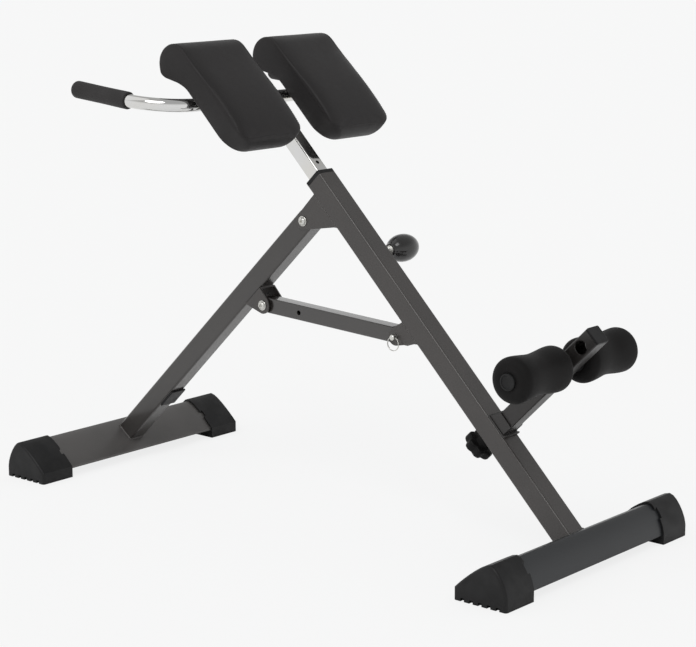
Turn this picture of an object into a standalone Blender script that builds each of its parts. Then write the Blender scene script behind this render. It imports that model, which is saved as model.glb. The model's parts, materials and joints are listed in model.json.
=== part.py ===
"""Folding back extension bench: a slanted main beam with a sliding twin-pad seat, a folding front leg
locked by a brace and a ring pin, and a roller arm for the ankles.

Metres, +Z up, X along the bench (rear foot at +X), Y across it, the floor at Z = 0 and the origin under
the middle of the bench. A frame on a slanted tube has X along the tube, Y across and Z away from it.
"""
from math import acos, asin, atan2, cos, pi, radians, sin, sqrt

import bmesh
import bpy
from mathutils import Matrix, Vector

# Clearances
GAP = 0.0003                 # between pieces that touch
PIVOT_GAP = 0.0003           # round a bolt or pin, on the radius
SLIDE_GAP = 0.0005           # round the post in its sleeve

# Feet: an arched tube across the bench with a moulded cap on each end
FOOT_SPREAD = 1.151          # between the middles of the two feet
FOOT_LENGTH = 0.560          # over both caps
FOOT_TUBE_WIDTH = 0.102
FOOT_TUBE_HEIGHT = 0.054
FOOT_TUBE_WALL = 0.002
FOOT_EDGE = 0.004            # upright edge at each side of the arch
FOOT_APEX_IN = 0.070         # from the inner edge to the highest line
FOOT_LIFT = 0.017            # floor to the underside of the tube
CAP_LENGTH = 0.078
CAP_WALL = 0.0042
CAP_END_WALL = 0.006
CAP_ROUNDING = 0.005
CAP_NOTCH_WIDTH = 0.007
CAP_NOTCH_HEIGHT = 0.006
CAP_NOTCH_COUNT = 5
CAP_CLIP_WIDTH = 0.012
CAP_CLIP_LENGTH = 0.006
CAP_CLIP_SHARES = (0.28, 0.86)    # clips' places over the cap's width

# Where a tube's middle line enters its foot
SEAT_IN = 0.0465             # from the foot's inner edge
SEAT_HEIGHT = 0.044

# Main beam
BEAM_ANGLE = radians(45.16)
BEAM_WIDTH = 0.045
BEAM_HEIGHT = 0.041
BEAM_WALL = 0.002
BEAM_CORNER = 0.004
BEAM_LENGTH = 0.8329         # from the foot's seat point to the upper end
SLEEVE_RIM = 0.0077
SLEEVE_DEPTH = 0.060

# Fold bracket and the pivot of the front leg
FOLD_FROM_END = 0.0373       # beam's upper end to the pivot, along the beam
FOLD_DROP = 0.0765           # pivot below the beam's middle line
FOLD_BRACKET_PAST = 0.0185   # bracket's upper end past the pivot, along the beam
FOLD_BRACKET_LENGTH = 0.079
PLATE = 0.003                # sheet steel of every bracket
PIVOT_BOLT_RADIUS = 0.005
BOLT_HEAD_RADIUS = 0.0098
BOLT_HEAD_HEIGHT = 0.0062
BOLT_FLANGE_SHARE = 0.30     # flange's share of a head's height
BOLT_HEX_SHARE = 0.80        # size over the flange's radius, above the flange
BOLT_CHAMFER_SHARE = 0.20    # chamfer's share of the head's height
PLATE_EYE_RADIUS = 0.0168    # round end of a bracket's cheeks
BRACKET_CUT_REACH = 0.040    # how far the cut between the cheeks runs past them

# Front leg
LEG_WIDTH = 0.038
LEG_HEIGHT = 0.042
LEG_WALL = 0.002
LEG_CORNER = 0.004
BRACE_PIVOT_DOWN = 0.201     # along the leg, from the fold pivot to the brace's bolt
BRACE_PIVOT_OFFSET = 0.051   # from the leg's middle line to the brace's bolt
LEG_BRACKET_LENGTH = 0.052
LEG_BRACKET_PAST = 0.018     # bracket's upper end past the brace's bolt, along the leg
LEG_BRACKET_WIDTH = 0.044
SPACER_RADIUS = 0.0085
STOP_DOWN = 0.5615           # along the leg, to the middle of the stop plate
STOP_LENGTH = 0.047
STOP_THICKNESS = 0.004

# Brace
BRACE_SIZE = 0.030
BRACE_WALL = 0.002
BRACE_CORNER = 0.003
BRACE_PIN_ALONG = 0.4983     # lock pin's place along the beam
BRACE_PIN_DROP = 0.0508      # lock pin below the beam's middle line
BRACE_OVERRUN = 0.022        # brace past the lock pin
SPARE_HOLE_ALONG = 0.0891    # from the brace's bolt
SPARE_HOLE_RADIUS = 0.0047
BRACE_BRACKET_LENGTH = 0.050
BRACE_BRACKET_PAST = 0.0103  # bracket's upper end past the lock pin, along the beam
LOCK_PIN_RADIUS = 0.0045
LOCK_PIN_SLOT_WIDTH = 0.0115
PIN_HEAD_RADIUS = 0.0055
PIN_HEAD_LENGTH = 0.011
PIN_TIP_LENGTH = 0.006       # pin past the bracket's far side
RING_HOLE_RADIUS = 0.0021
RING_RADIUS = 0.0130
RING_WIRE_RADIUS = 0.0010
FOLD_ANGLE = radians(80.0)
BRACE_TUCK = radians(1.4)    # folded brace leans this far onto the leg's stop plate
SLOT_FOLD = radians(3.0)     # fold by which the brace is off the lock pin

# Seat post
POST_SIZE = 0.030
POST_WALL = 0.002
POST_CORNER = 0.003
POST_BELOW_PIN = 0.0916      # post's lower end below the pull pin
POST_PAST_BAR = 0.0175       # post's upper end past the cross bar's middle
POST_HOLE_PITCH = 0.025
POST_HOLES_BELOW = 2
POST_HOLES_ABOVE = 3
POST_VENT_ALONG = 0.8626
POST_VENT_RADIUS = 0.004
POST_PLUG_RIM = 0.003
GLIDE_LENGTH = 0.025
PULL_PIN_ALONG = 0.6516
PULL_PIN_RADIUS = 0.0040
PULL_COLLAR_RADIUS = 0.011
PULL_COLLAR_LENGTH = 0.025
PULL_KNOB_RADIUS = 0.026
PULL_KNOB_LENGTH = 0.076
PULL_NECK_RADIUS = 0.0125
PULL_STEM_IN_KNOB = 0.018
PULL_WIDEST_SHARE = 0.56     # knob's widest ring, from its foot
PULL_SHOULDER_SHARE = 0.26   # pull of the shoulder's curve
PULL_NECK_SHARE = 0.28       # pull of the neck's curve

# Handlebar
BAR_RADIUS = 0.0125
BAR_ALONG = 1.0373           # cross bar's place along the beam
BAR_HALF_SPREAD = 0.272      # middle of the bench to a grip's middle line
BAR_BEND = 0.092
BAR_REACH = 0.232            # cross bar to the end of the tube
BAR_DROP = radians(40.0)     # grips point this far below the beam's line
GRIP_RADIUS = 0.0165
GRIP_LENGTH = 0.1445
GRIP_END_WALL = 0.004
GRIP_DOME = 0.007            # rounding of a grip's closed end

# Pads
PAD_INNER = 0.045            # middle of the bench to a pad's inner side
PAD_WIDTH = 0.162
PAD_BOTTOM_ALONG = 0.890
PAD_LENGTH = 0.258
PAD_UNDERSIDE = 0.0215       # above the beam's middle line
PAD_SEAM = 0.0415            # underside to the seam line
PAD_CROWN = 0.0085           # top above the seam along the middle
PAD_CORNER = 0.024           # rounding of the lower corners, seen from above
PAD_SIDE_DRAW = 0.010        # sides drawn in towards the outer rows
PAD_END_SLOPE = 0.020        # lower end: seam set back from the furthest point
PAD_ROWS = (-1.0, -0.96, -0.85, -0.5, 0.0, 0.5, 0.85, 0.96, 1.0)
PAD_ROLL_RADIUS = 0.0375
PAD_ROLL_HEIGHT = 0.030      # roll's middle above the beam's middle line
PAD_ROLL_CROWN = 0.004       # top above the seam over the roll
PAD_FADE = 2.6               # where the lower crown begins, in roll radii from the upper end
PAD_TOP_SHARES = (0.36, 0.58, 0.80)    # stations of the top, from the lower end to the roll
PAD_UNDER_SHARES = (0.60, 0.36)        # and of the underside, on the way back
PAD_END_POINTS = ((0.90, 0.0), (0.38, 0.12), (0.05, 0.36), (0.08, 0.62), (0.38, 0.88), (0.95, 1.0))
PAD_NECK_POINTS = ((0.34, 0.53), (0.82, 0.19), (1.22, 0.05), (1.50, 0.0))
PAD_BEND_REACH = radians(76.0)         # the roll's round face, to each side of its outermost line
PAD_BRACKET_WIDTH = 0.040
PAD_BRACKET_LENGTH = 0.118
PAD_BRACKET_PAST_BAR = 0.014
PAD_BRACKET_GAP = 0.0005     # pad over its channel

# Roller arm
ARM_ALONG = 0.2376
ARM_SIZE = 0.034
ARM_WALL = 0.002
ARM_CORNER = 0.003
ARM_TOP = 0.2985             # above the beam's middle line
ARM_PLUG_RIM = 0.004
ARM_PLUG_DEPTH = 0.012
AXLE_HEIGHT = 0.2101         # roller axle above the beam's middle line
AXLE_RADIUS = 0.0125
AXLE_WALL = 0.002
AXLE_HOLE_PITCH = 0.0549
SADDLE_LENGTH = 0.051
SADDLE_PAST = 0.006          # saddle's base past the arm, down the beam
SADDLE_LIP = 0.0055
SADDLE_CHEEK = 0.026
SADDLE_ROUNDING = 0.006
ROLLER_INNER = 0.029
ROLLER_LENGTH = 0.1437
ROLLER_RADIUS = 0.041
ROLLER_WAIST = 0.0365
ROLLER_END_ROUNDING = 0.016
COLLAR_RADIUS = 0.017
AXLE_PLUG_RADIUS = 0.015
AXLE_PLUG_RIM = 0.0035
AXLE_PLUG_DEPTH = 0.014
STUD_RADIUS = 0.0048
STUD_OFFSET = 0.006          # stud's line further up the beam than the arm's
STUD_HEAD_RADIUS = ARM_SIZE / 2 - ARM_WALL - STUD_OFFSET - 2 * GAP
STUD_HEAD_HEIGHT = 0.004
STUD_BELOW = 0.022           # stud below the beam, inside the star knob
STAR_RADIUS = 0.029
STAR_LOBES = 7
STAR_LOBE_DEPTH = 0.0035
STAR_THICKNESS = 0.019
STAR_HUB_RADIUS = 0.015
STAR_HUB_HEIGHT = 0.017

# Facets
CORNER_STEPS = 4
ROUND_STEPS = 28
SMALL_STEPS = 20
EGG_STEPS = 7
LOBE_STEPS = 6

# Derived places: seat points, pivots and angles
FOLD_ALONG = BEAM_LENGTH - FOLD_FROM_END
POST_BOTTOM_ALONG = PULL_PIN_ALONG - POST_BELOW_PIN
FOOT_OUTER_WIDTH = FOOT_TUBE_WIDTH + 2 * CAP_WALL
SEAT_X = FOOT_SPREAD / 2 - FOOT_OUTER_WIDTH / 2 + SEAT_IN
BEAM_FRAME = Matrix.Translation((SEAT_X, 0, SEAT_HEIGHT)) @ Matrix.Rotation(BEAM_ANGLE, 4, "Y")


def on_beam(along, above, across=0.0):
    """World place of a point given along the beam, above its middle line and across it."""
    return BEAM_FRAME @ Vector((-along, across, above))


FOLD_PIVOT = on_beam(FOLD_ALONG, -FOLD_DROP)
LEG_SEAT = Vector((-SEAT_X, 0, SEAT_HEIGHT))
LEG_LENGTH = (FOLD_PIVOT - LEG_SEAT).length
LEG_ANGLE = atan2(FOLD_PIVOT.z - LEG_SEAT.z, FOLD_PIVOT.x - LEG_SEAT.x)
LEG_FRAME = Matrix.Translation(FOLD_PIVOT) @ Matrix.Rotation(-LEG_ANGLE, 4, "Y")
BRACE_PIVOT = LEG_FRAME @ Vector((-BRACE_PIVOT_DOWN, 0, -BRACE_PIVOT_OFFSET))
LOCK_PIN = on_beam(BRACE_PIN_ALONG, -BRACE_PIN_DROP)
BRACE_SPAN = (LOCK_PIN - BRACE_PIVOT).length
BRACE_ANGLE = atan2(BRACE_PIVOT.z - LOCK_PIN.z, LOCK_PIN.x - BRACE_PIVOT.x)
BRACE_FRAME = Matrix.Translation(BRACE_PIVOT) @ Matrix.Rotation(BRACE_ANGLE, 4, "Y")
BRACE_TURN = pi - LEG_ANGLE - BRACE_ANGLE + BRACE_TUCK


# Outlines: flat closed loops of (a, b) points
def arc(centre, radius, start, end, steps):
    """Points along a round stretch, both ends included."""
    angles = [start + (end - start) * i / steps for i in range(steps + 1)]
    return [(centre[0] + radius * cos(t), centre[1] + radius * sin(t)) for t in angles]


def circle(centre, radius, steps=ROUND_STEPS):
    """A full ring of points."""
    return arc(centre, radius, 0, 2 * pi, steps)[:-1]


def rounded_box(width, height, radius, middle=(0.0, 0.0)):
    """A rectangle with round corners about its middle."""
    loop = []
    for quarter, (side_a, side_b) in enumerate(((1, 1), (-1, 1), (-1, -1), (1, -1))):
        corner = (middle[0] + side_a * (width / 2 - radius), middle[1] + side_b * (height / 2 - radius))
        loop += arc(corner, radius, quarter * pi / 2, (quarter + 1) * pi / 2, CORNER_STEPS)
    return loop


def tube_loops(width, height, radius, wall):
    """Outer and inner outline of a square tube."""
    inner = rounded_box(width - 2 * wall, height - 2 * wall, max(radius - wall, wall / 4))
    return [rounded_box(width, height, radius), inner]


def bow(start, pull_start, pull_end, end, steps):
    """Points along a cubic curve, without its first point."""
    points = []
    for i in range(1, steps + 1):
        t = i / steps
        weights = ((1 - t) ** 3, 3 * t * (1 - t) ** 2, 3 * t * t * (1 - t), t ** 3)
        knots = (start, pull_start, pull_end, end)
        points.append(tuple(sum(w * knot[axis] for w, knot in zip(weights, knots)) for axis in (0, 1)))
    return points


def grown(loop, distance):
    """A loop of a turning outline moved outwards by a distance (inwards if negative)."""
    area = sum(p[0] * q[1] - q[0] * p[1] for p, q in zip(loop, loop[1:] + loop[:1]))
    turn = 1 if area > 0 else -1
    moved = []
    for before, point, after in zip(loop[-1:] + loop[:-1], loop, loop[1:] + loop[:1]):
        edges = [Vector(point) - Vector(before), Vector(after) - Vector(point)]
        normals = [Vector((edge.y, -edge.x)).normalized() * turn for edge in edges]
        middle = (normals[0] + normals[1]).normalized()
        moved.append(tuple(Vector(point) + middle * distance / max(middle.dot(normals[0]), 0.3)))
    return moved


def foot_tube_loop():
    """Arched section of a foot tube, from its inner edge outwards, upright edges on both sides."""
    inner = (0.0, FOOT_EDGE)
    apex = (FOOT_APEX_IN, FOOT_TUBE_HEIGHT)
    outer = (FOOT_TUBE_WIDTH, FOOT_EDGE)
    rise = FOOT_TUBE_HEIGHT - FOOT_EDGE
    fall = FOOT_TUBE_WIDTH - FOOT_APEX_IN
    slope = bow(inner, (FOOT_APEX_IN * 0.21, FOOT_EDGE + rise * 0.30),
                (FOOT_APEX_IN * 0.79, FOOT_TUBE_HEIGHT), apex, 7)
    back = bow(apex, (FOOT_APEX_IN + fall * 0.33, FOOT_TUBE_HEIGHT),
               (FOOT_TUBE_WIDTH - fall * 0.06, FOOT_EDGE + rise * 0.42), outer, 6)
    return [(0.0, 0.0), inner] + slope + back + [(FOOT_TUBE_WIDTH, 0.0)]


def placed(loop, shift, flip=1):
    """A loop mirrored in its first axis if asked, then moved."""
    return [(flip * a + shift[0], b + shift[1]) for a, b in loop]


# Solids
def weld(mesh):
    """Join a mesh's loose caps and turn its faces outwards."""
    work = bmesh.new()
    work.from_mesh(mesh)
    bmesh.ops.remove_doubles(work, verts=work.verts, dist=1e-6)
    bmesh.ops.recalc_face_normals(work, faces=work.faces)
    work.to_mesh(mesh)
    work.free()


def mesh_of(curve):
    """The mesh of a curve as Blender fills and bevels it, welded; the curve goes."""
    holder = bpy.data.objects.new("outline", curve)
    bpy.context.scene.collection.objects.link(holder)
    graph = bpy.context.evaluated_depsgraph_get()
    mesh = bpy.data.meshes.new_from_object(holder.evaluated_get(graph))
    bpy.data.objects.remove(holder)
    bpy.data.curves.remove(curve)
    weld(mesh)
    return mesh


def prism(loops, start, end, axis="Y"):
    """A solid between two planes square to an axis; loops after the first are holes in it.

    Loops are (X, Z) for axis Y, (Y, Z) for axis X and (X, Y) for axis Z.
    """
    curve = bpy.data.curves.new("outline", "CURVE")
    curve.dimensions = "2D"
    curve.fill_mode = "BOTH"
    curve.extrude = (end - start) / 2
    for loop in loops:
        spline = curve.splines.new("POLY")
        spline.points.add(len(loop) - 1)
        for point, place in zip(spline.points, loop):
            point.co = (place[0], place[1], 0, 1)
        spline.use_cyclic_u = True
    mesh = mesh_of(curve)
    middle = (start + end) / 2
    for vertex in mesh.vertices:
        a, b, depth = vertex.co
        depth += middle
        vertex.co = {"X": (depth, a, b), "Y": (a, depth, b), "Z": (a, b, depth)}[axis]
    weld(mesh)
    return mesh


def rod(radius, start, end, axis="Y", centre=(0.0, 0.0), steps=ROUND_STEPS):
    """A round bar between two planes square to an axis, about a centre in the other two axes."""
    work = bmesh.new()
    bmesh.ops.create_cone(work, cap_ends=True, segments=steps, radius1=radius, radius2=radius,
                          depth=end - start)
    middle = (start + end) / 2
    turn = {"X": Matrix.Rotation(pi / 2, 4, "Y"), "Y": Matrix.Rotation(pi / 2, 4, "X"), "Z": Matrix()}[axis]
    place = {"X": (middle, *centre), "Y": (centre[0], middle, centre[1]), "Z": (*centre, middle)}[axis]
    bmesh.ops.transform(work, matrix=Matrix.Translation(place) @ turn, verts=work.verts)
    mesh = bpy.data.meshes.new("rod")
    work.to_mesh(mesh)
    work.free()
    return mesh


def block(low, high):
    """A plain box between two opposite corners."""
    work = bmesh.new()
    bmesh.ops.create_cube(work, size=1)
    size = Vector(high) - Vector(low)
    middle = (Vector(high) + Vector(low)) / 2
    matrix = Matrix.Translation(middle) @ Matrix.Diagonal((*size, 1))
    bmesh.ops.transform(work, matrix=matrix, verts=work.verts)
    mesh = bpy.data.meshes.new("block")
    work.to_mesh(mesh)
    work.free()
    return mesh


def loft(rings):
    """A solid skinned over rings of as many points each, its first and last ring filled."""
    work = bmesh.new()
    rows = [[work.verts.new(place) for place in ring] for ring in rings]
    for row, other in zip(rows, rows[1:]):
        for i in range(len(row)):
            j = (i + 1) % len(row)
            work.faces.new((row[i], row[j], other[j], other[i]))
    work.faces.new(rows[0])
    work.faces.new(reversed(rows[-1]))
    bmesh.ops.recalc_face_normals(work, faces=work.faces)
    mesh = bpy.data.meshes.new("loft")
    work.to_mesh(mesh)
    work.free()
    return mesh


def pipe(points, radius, steps_round=3):
    """A round bar along a list of points, with closed ends."""
    curve = bpy.data.curves.new("pipe", "CURVE")
    curve.dimensions = "3D"
    curve.bevel_depth = radius
    curve.bevel_resolution = steps_round
    curve.use_fill_caps = True
    spline = curve.splines.new("POLY")
    spline.points.add(len(points) - 1)
    for point, place in zip(spline.points, points):
        point.co = (*place, 1)
    return mesh_of(curve)


# Objects
def make_material(name, colour, roughness, metallic):
    """A plain Principled material."""
    material = bpy.data.materials.new(name)
    material.use_nodes = True
    shader = material.node_tree.nodes["Principled BSDF"]
    shader.inputs["Base Color"].default_value = (*colour, 1)
    shader.inputs["Roughness"].default_value = roughness
    shader.inputs["Metallic"].default_value = metallic
    return material


FINISHES = {
    "beam_paint": ((0.085, 0.082, 0.085), 0.42, 0.55),
    "foot_paint": ((0.052, 0.056, 0.062), 0.40, 0.55),
    "chrome": ((0.80, 0.80, 0.80), 0.10, 1.0),
    "zinc": ((0.55, 0.55, 0.54), 0.30, 1.0),
    "plastic": ((0.014, 0.014, 0.015), 0.50, 0.0),
    "gloss_plastic": ((0.010, 0.010, 0.010), 0.22, 0.0),
    "vinyl": ((0.022, 0.021, 0.022), 0.55, 0.0),
    "foam": ((0.012, 0.012, 0.013), 0.90, 0.0),
}


def make(name, mesh, finish, parent=None, at=(0.0, 0.0, 0.0), smooth=35):
    """A named sub-part with its own material, under its frame."""
    part = bpy.data.objects.new(name, mesh)
    mesh.name = name
    bpy.data.collections["back_extension_bench"].objects.link(part)
    colour, roughness, metallic = FINISHES[finish]
    mesh.materials.clear()
    mesh.materials.append(make_material(name + "_" + finish, colour, roughness, metallic))
    mesh.shade_smooth()
    mesh.set_sharp_from_angle(angle=radians(smooth))
    part.parent = parent
    part.location = at
    return part


def combine(part, mesh, operation):
    """Cut a tool out of a part or join it on; the tool stands in the part's own frame."""
    tool = bpy.data.objects.new(part.name + "_" + operation.lower(), mesh)
    bpy.data.collections["cutters"].objects.link(tool)
    tool.parent = part
    tool.hide_render = True
    tool.display_type = "WIRE"
    step = part.modifiers.new(operation.title(), "BOOLEAN")
    step.operation = operation
    step.solver = "EXACT"
    step.object = tool
    return tool


def cut(part, mesh):
    """Take a shape out of a part."""
    return combine(part, mesh, "DIFFERENCE")


def join(part, mesh):
    """Add a shape to a part."""
    return combine(part, mesh, "UNION")


def add_screw(part, steps):
    """Turn a profile once about the part's own Z axis."""
    screw = part.modifiers.new("Screw", "SCREW")
    screw.steps = steps
    screw.render_steps = steps
    screw.use_merge_vertices = True
    screw.merge_threshold = 1e-6
    screw.use_smooth_shade = True


def turned(name, profile, finish, parent, at=(0.0, 0.0, 0.0), axis="Z", steps=ROUND_STEPS):
    """A solid of revolution: profile of (radius, height) from the top down its outer side."""
    mesh = bpy.data.meshes.new(name)
    mesh.from_pydata([(r, 0, z) for r, z in profile], [(i, i + 1) for i in range(len(profile) - 1)], [])
    part = make(name, mesh, finish, parent, at)
    add_screw(part, steps)
    part.rotation_euler = {"X": (0, pi / 2, 0), "Y": (-pi / 2, 0, 0), "Z": (0, 0, 0)}[axis]
    return part


def closed_profile(name, loop):
    """Mesh of a closed (radius, height) outline, to be turned about its Z axis."""
    mesh = bpy.data.meshes.new(name)
    edges = [(i, (i + 1) % len(loop)) for i in range(len(loop))]
    mesh.from_pydata([(r, 0, z) for r, z in loop], edges, [])
    return mesh


def frame_empty(name, matrix, parent=None):
    """An empty that carries a frame of the assembly; its parent, if any, is a frame of the world."""
    empty = bpy.data.objects.new(name, None)
    empty.empty_display_size = 0.05
    bpy.data.collections["back_extension_bench"].objects.link(empty)
    empty.parent = parent
    empty.matrix_basis = parent.matrix_basis.inverted() @ matrix if parent else matrix
    return empty


# Shared shapes
def eye_plate(base_left, base_right, height, eye, radius):
    """Plate outline: a straight base edge above, sides tangent to a round eye below it."""
    outline = [(base_left, height), (base_right, height)]
    reach_right = Vector((base_right - eye[0], height - eye[1]))
    reach_left = Vector((base_left - eye[0], height - eye[1]))
    turn_right = atan2(reach_right.y, reach_right.x) - acos(radius / reach_right.length)
    turn_left = atan2(reach_left.y, reach_left.x) + acos(radius / reach_left.length) - 2 * pi
    return outline + arc(eye, radius, turn_right, turn_left, 12)


def pivot_bracket(name, finish, parent, base_left, base_right, height, eye, width):
    """A bent-up U bracket: base plate against a tube, two cheeks with an eye for a bolt."""
    outline = eye_plate(base_left, base_right, height, eye, PLATE_EYE_RADIUS)
    bracket = make(name, prism([outline], -width / 2, width / 2), finish, parent)
    clear = width / 2 - PLATE
    reach = BRACKET_CUT_REACH
    low = (base_left - reach, -clear, eye[1] - reach)
    cut(bracket, block(low, (base_right + reach, clear, height - PLATE)))
    return bracket


def pivot_bolt(name, half_grip, parent, at):
    """A bolt and its nut through a pivot, one head over each outer face."""
    flange = BOLT_HEAD_HEIGHT * BOLT_FLANGE_SHARE
    crown = BOLT_HEAD_HEIGHT * (1 - BOLT_CHAMFER_SHARE)
    hexagon = BOLT_HEAD_RADIUS * BOLT_HEX_SHARE
    side = [(0, BOLT_HEAD_HEIGHT), (hexagon * (1 - BOLT_CHAMFER_SHARE / 2), BOLT_HEAD_HEIGHT),
            (hexagon, crown), (hexagon, flange), (BOLT_HEAD_RADIUS, flange), (BOLT_HEAD_RADIUS, 0),
            (PIVOT_BOLT_RADIUS, 0)]
    upper = [(radius, half_grip + GAP + height) for radius, height in side]
    lower = [(radius, -height) for radius, height in reversed(upper)]
    return turned(name, upper + lower, "zinc", parent, at, "Y", steps=SMALL_STEPS)


def washer(name, inner, outer, length, finish, parent, at):
    """A plain ring about a cross axis."""
    loops = [circle((0, 0), outer, SMALL_STEPS), circle((0, 0), inner, SMALL_STEPS)]
    return make(name, prism(loops, -length / 2, length / 2), finish, parent, at)


def rounded_end(radius, sign):
    """Cutter outline that leaves a half-round end about the origin; sign gives the end's side."""
    bend = [(sign * a, b) for a, b in arc((0, 0), radius, -pi / 2, pi / 2, 12)]
    return bend + [(0, 2 * radius), (sign * 2 * radius, 2 * radius), (sign * 2 * radius, -2 * radius),
                   (0, -2 * radius)]


# Feet
FOOT_INNER_X = FOOT_SPREAD / 2 - FOOT_OUTER_WIDTH / 2


def foot_section(side):
    """Section of a foot tube in its foot's frame; side is +1 for the rear foot, -1 for the front."""
    return placed(foot_tube_loop(), (side * CAP_WALL, FOOT_LIFT), side)


def foot_cope(side, frame):
    """The solid that a slanted tube's lower end is coped to, in that tube's frame."""
    solid = prism([grown(foot_section(side), GAP)], -FOOT_LENGTH / 4, FOOT_LENGTH / 4)
    solid.transform(frame.inverted() @ Matrix.Translation((side * FOOT_INNER_X, 0, 0)))
    return solid


def cap_ring(section, across, inset):
    """One ring of a cap's skin, drawn in by an inset, its sole on the floor."""
    loop = grown(section, CAP_WALL - inset)
    return [(a, across, 0.0 if i in (0, len(loop) - 1) else b) for i, (a, b) in enumerate(loop)]


def build_cap(name, side, hand, frame):
    """A moulded cap over one end of a foot tube, with its socket, sole ribs and clip notches."""
    section = foot_section(side)
    end, mouth = FOOT_LENGTH / 2, FOOT_LENGTH / 2 - CAP_LENGTH
    rings = [cap_ring(section, hand * mouth, 0.0)]
    for inset, along in arc((CAP_ROUNDING, -CAP_ROUNDING), CAP_ROUNDING, pi, pi / 2, 3):
        rings.append(cap_ring(section, hand * (end + along), inset))
    cap = make(name, loft(rings), "plastic", frame)
    socket = sorted((hand * (mouth - CAP_WALL), hand * (end - CAP_END_WALL)))
    cut(cap, prism([grown(section, GAP)], *socket))
    for i in range(CAP_NOTCH_COUNT):
        middle = side * FOOT_OUTER_WIDTH * (i + 1) / (CAP_NOTCH_COUNT + 1)
        reach = sorted((hand * (end - CAP_NOTCH_WIDTH), hand * (end + CAP_NOTCH_WIDTH)))
        cut(cap, block((middle - CAP_NOTCH_WIDTH / 2, reach[0], -CAP_NOTCH_HEIGHT),
                       (middle + CAP_NOTCH_WIDTH / 2, reach[1], CAP_NOTCH_HEIGHT)))
    for share in CAP_CLIP_SHARES:
        middle = side * FOOT_OUTER_WIDTH * share
        reach = sorted((hand * (mouth - CAP_CLIP_LENGTH), hand * (mouth + CAP_CLIP_LENGTH)))
        cut(cap, block((middle - CAP_CLIP_WIDTH / 2, reach[0], FOOT_LIFT + FOOT_EDGE),
                       (middle + CAP_CLIP_WIDTH / 2, reach[1], FOOT_LIFT + FOOT_TUBE_HEIGHT + 2 * CAP_WALL)))
    return cap


def build_foot(which, side, parent):
    """A foot tube across the bench and its two caps."""
    frame = frame_empty(which + "_foot_frame", Matrix.Translation((side * FOOT_INNER_X, 0, 0)), parent)
    section = foot_section(side)
    half = FOOT_LENGTH / 2 - CAP_END_WALL - GAP
    loops = [section, grown(section, -FOOT_TUBE_WALL)]
    make(which + "_foot_tube", prism(loops, -half, half), "foot_paint", frame)
    for hand, word in ((-1, "right"), (1, "left")):
        build_cap(which + "_foot_cap_" + word, side, hand, frame)


# Main beam, its sleeve and its brackets
def build_beam(beam):
    """The slanted beam: a square tube coped on the rear foot, bored for the stud and the pull pin."""
    tube = tube_loops(BEAM_WIDTH, BEAM_HEIGHT, BEAM_CORNER, BEAM_WALL)
    part = make("main_beam", prism(tube, -BEAM_LENGTH, 0, "X"), "beam_paint", beam)
    cut(part, foot_cope(1, BEAM_FRAME))
    stud = (-ARM_ALONG - STUD_OFFSET, 0)
    cut(part, rod(STUD_RADIUS + PIVOT_GAP, -BEAM_HEIGHT, BEAM_HEIGHT, "Z", stud, SMALL_STEPS))
    cut(part, rod(PULL_PIN_RADIUS + PIVOT_GAP, 0, BEAM_WIDTH, "Y", (-PULL_PIN_ALONG, 0), SMALL_STEPS))


def build_sleeve(beam):
    """Plastic guide for the post: a rim on the beam's end and a sleeve down inside it."""
    opening = rounded_box(POST_SIZE + 2 * SLIDE_GAP, POST_SIZE + 2 * SLIDE_GAP, POST_CORNER)
    inside = rounded_box(BEAM_WIDTH - 2 * (BEAM_WALL + GAP), BEAM_HEIGHT - 2 * (BEAM_WALL + GAP),
                         BEAM_CORNER - BEAM_WALL)
    face = -(BEAM_LENGTH + GAP)
    rim = rounded_box(BEAM_WIDTH, BEAM_HEIGHT, BEAM_CORNER)
    part = make("beam_sleeve", prism([rim, opening], face - SLEEVE_RIM, face, "X"), "plastic", beam)
    join(part, prism([inside, opening], face - SLEEVE_RIM / 2, SLEEVE_DEPTH - BEAM_LENGTH, "X"))


def build_fold_bracket(beam):
    """The bracket under the beam that carries the front leg, and its bolt."""
    upper = -(FOLD_ALONG + FOLD_BRACKET_PAST)
    eye = (-FOLD_ALONG, -FOLD_DROP)
    part = pivot_bracket("fold_bracket", "beam_paint", beam, upper, upper + FOLD_BRACKET_LENGTH,
                         -BEAM_HEIGHT / 2 - GAP, eye, BEAM_WIDTH)
    cut(part, rod(PIVOT_BOLT_RADIUS + PIVOT_GAP, -BEAM_WIDTH, BEAM_WIDTH, "Y", eye, SMALL_STEPS))
    pivot_bolt("fold_bolt", BEAM_WIDTH / 2, beam, (eye[0], 0, eye[1]))


def build_brace_bracket(beam):
    """The bracket under the beam that the brace's far end is pinned in."""
    upper = -(BRACE_PIN_ALONG + BRACE_BRACKET_PAST)
    eye = (-BRACE_PIN_ALONG, -BRACE_PIN_DROP)
    part = pivot_bracket("brace_bracket", "beam_paint", beam, upper, upper + BRACE_BRACKET_LENGTH,
                         -BEAM_HEIGHT / 2 - GAP, eye, BEAM_WIDTH)
    cut(part, rod(LOCK_PIN_RADIUS + PIVOT_GAP, -BEAM_WIDTH, BEAM_WIDTH, "Y", eye, SMALL_STEPS))


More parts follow.
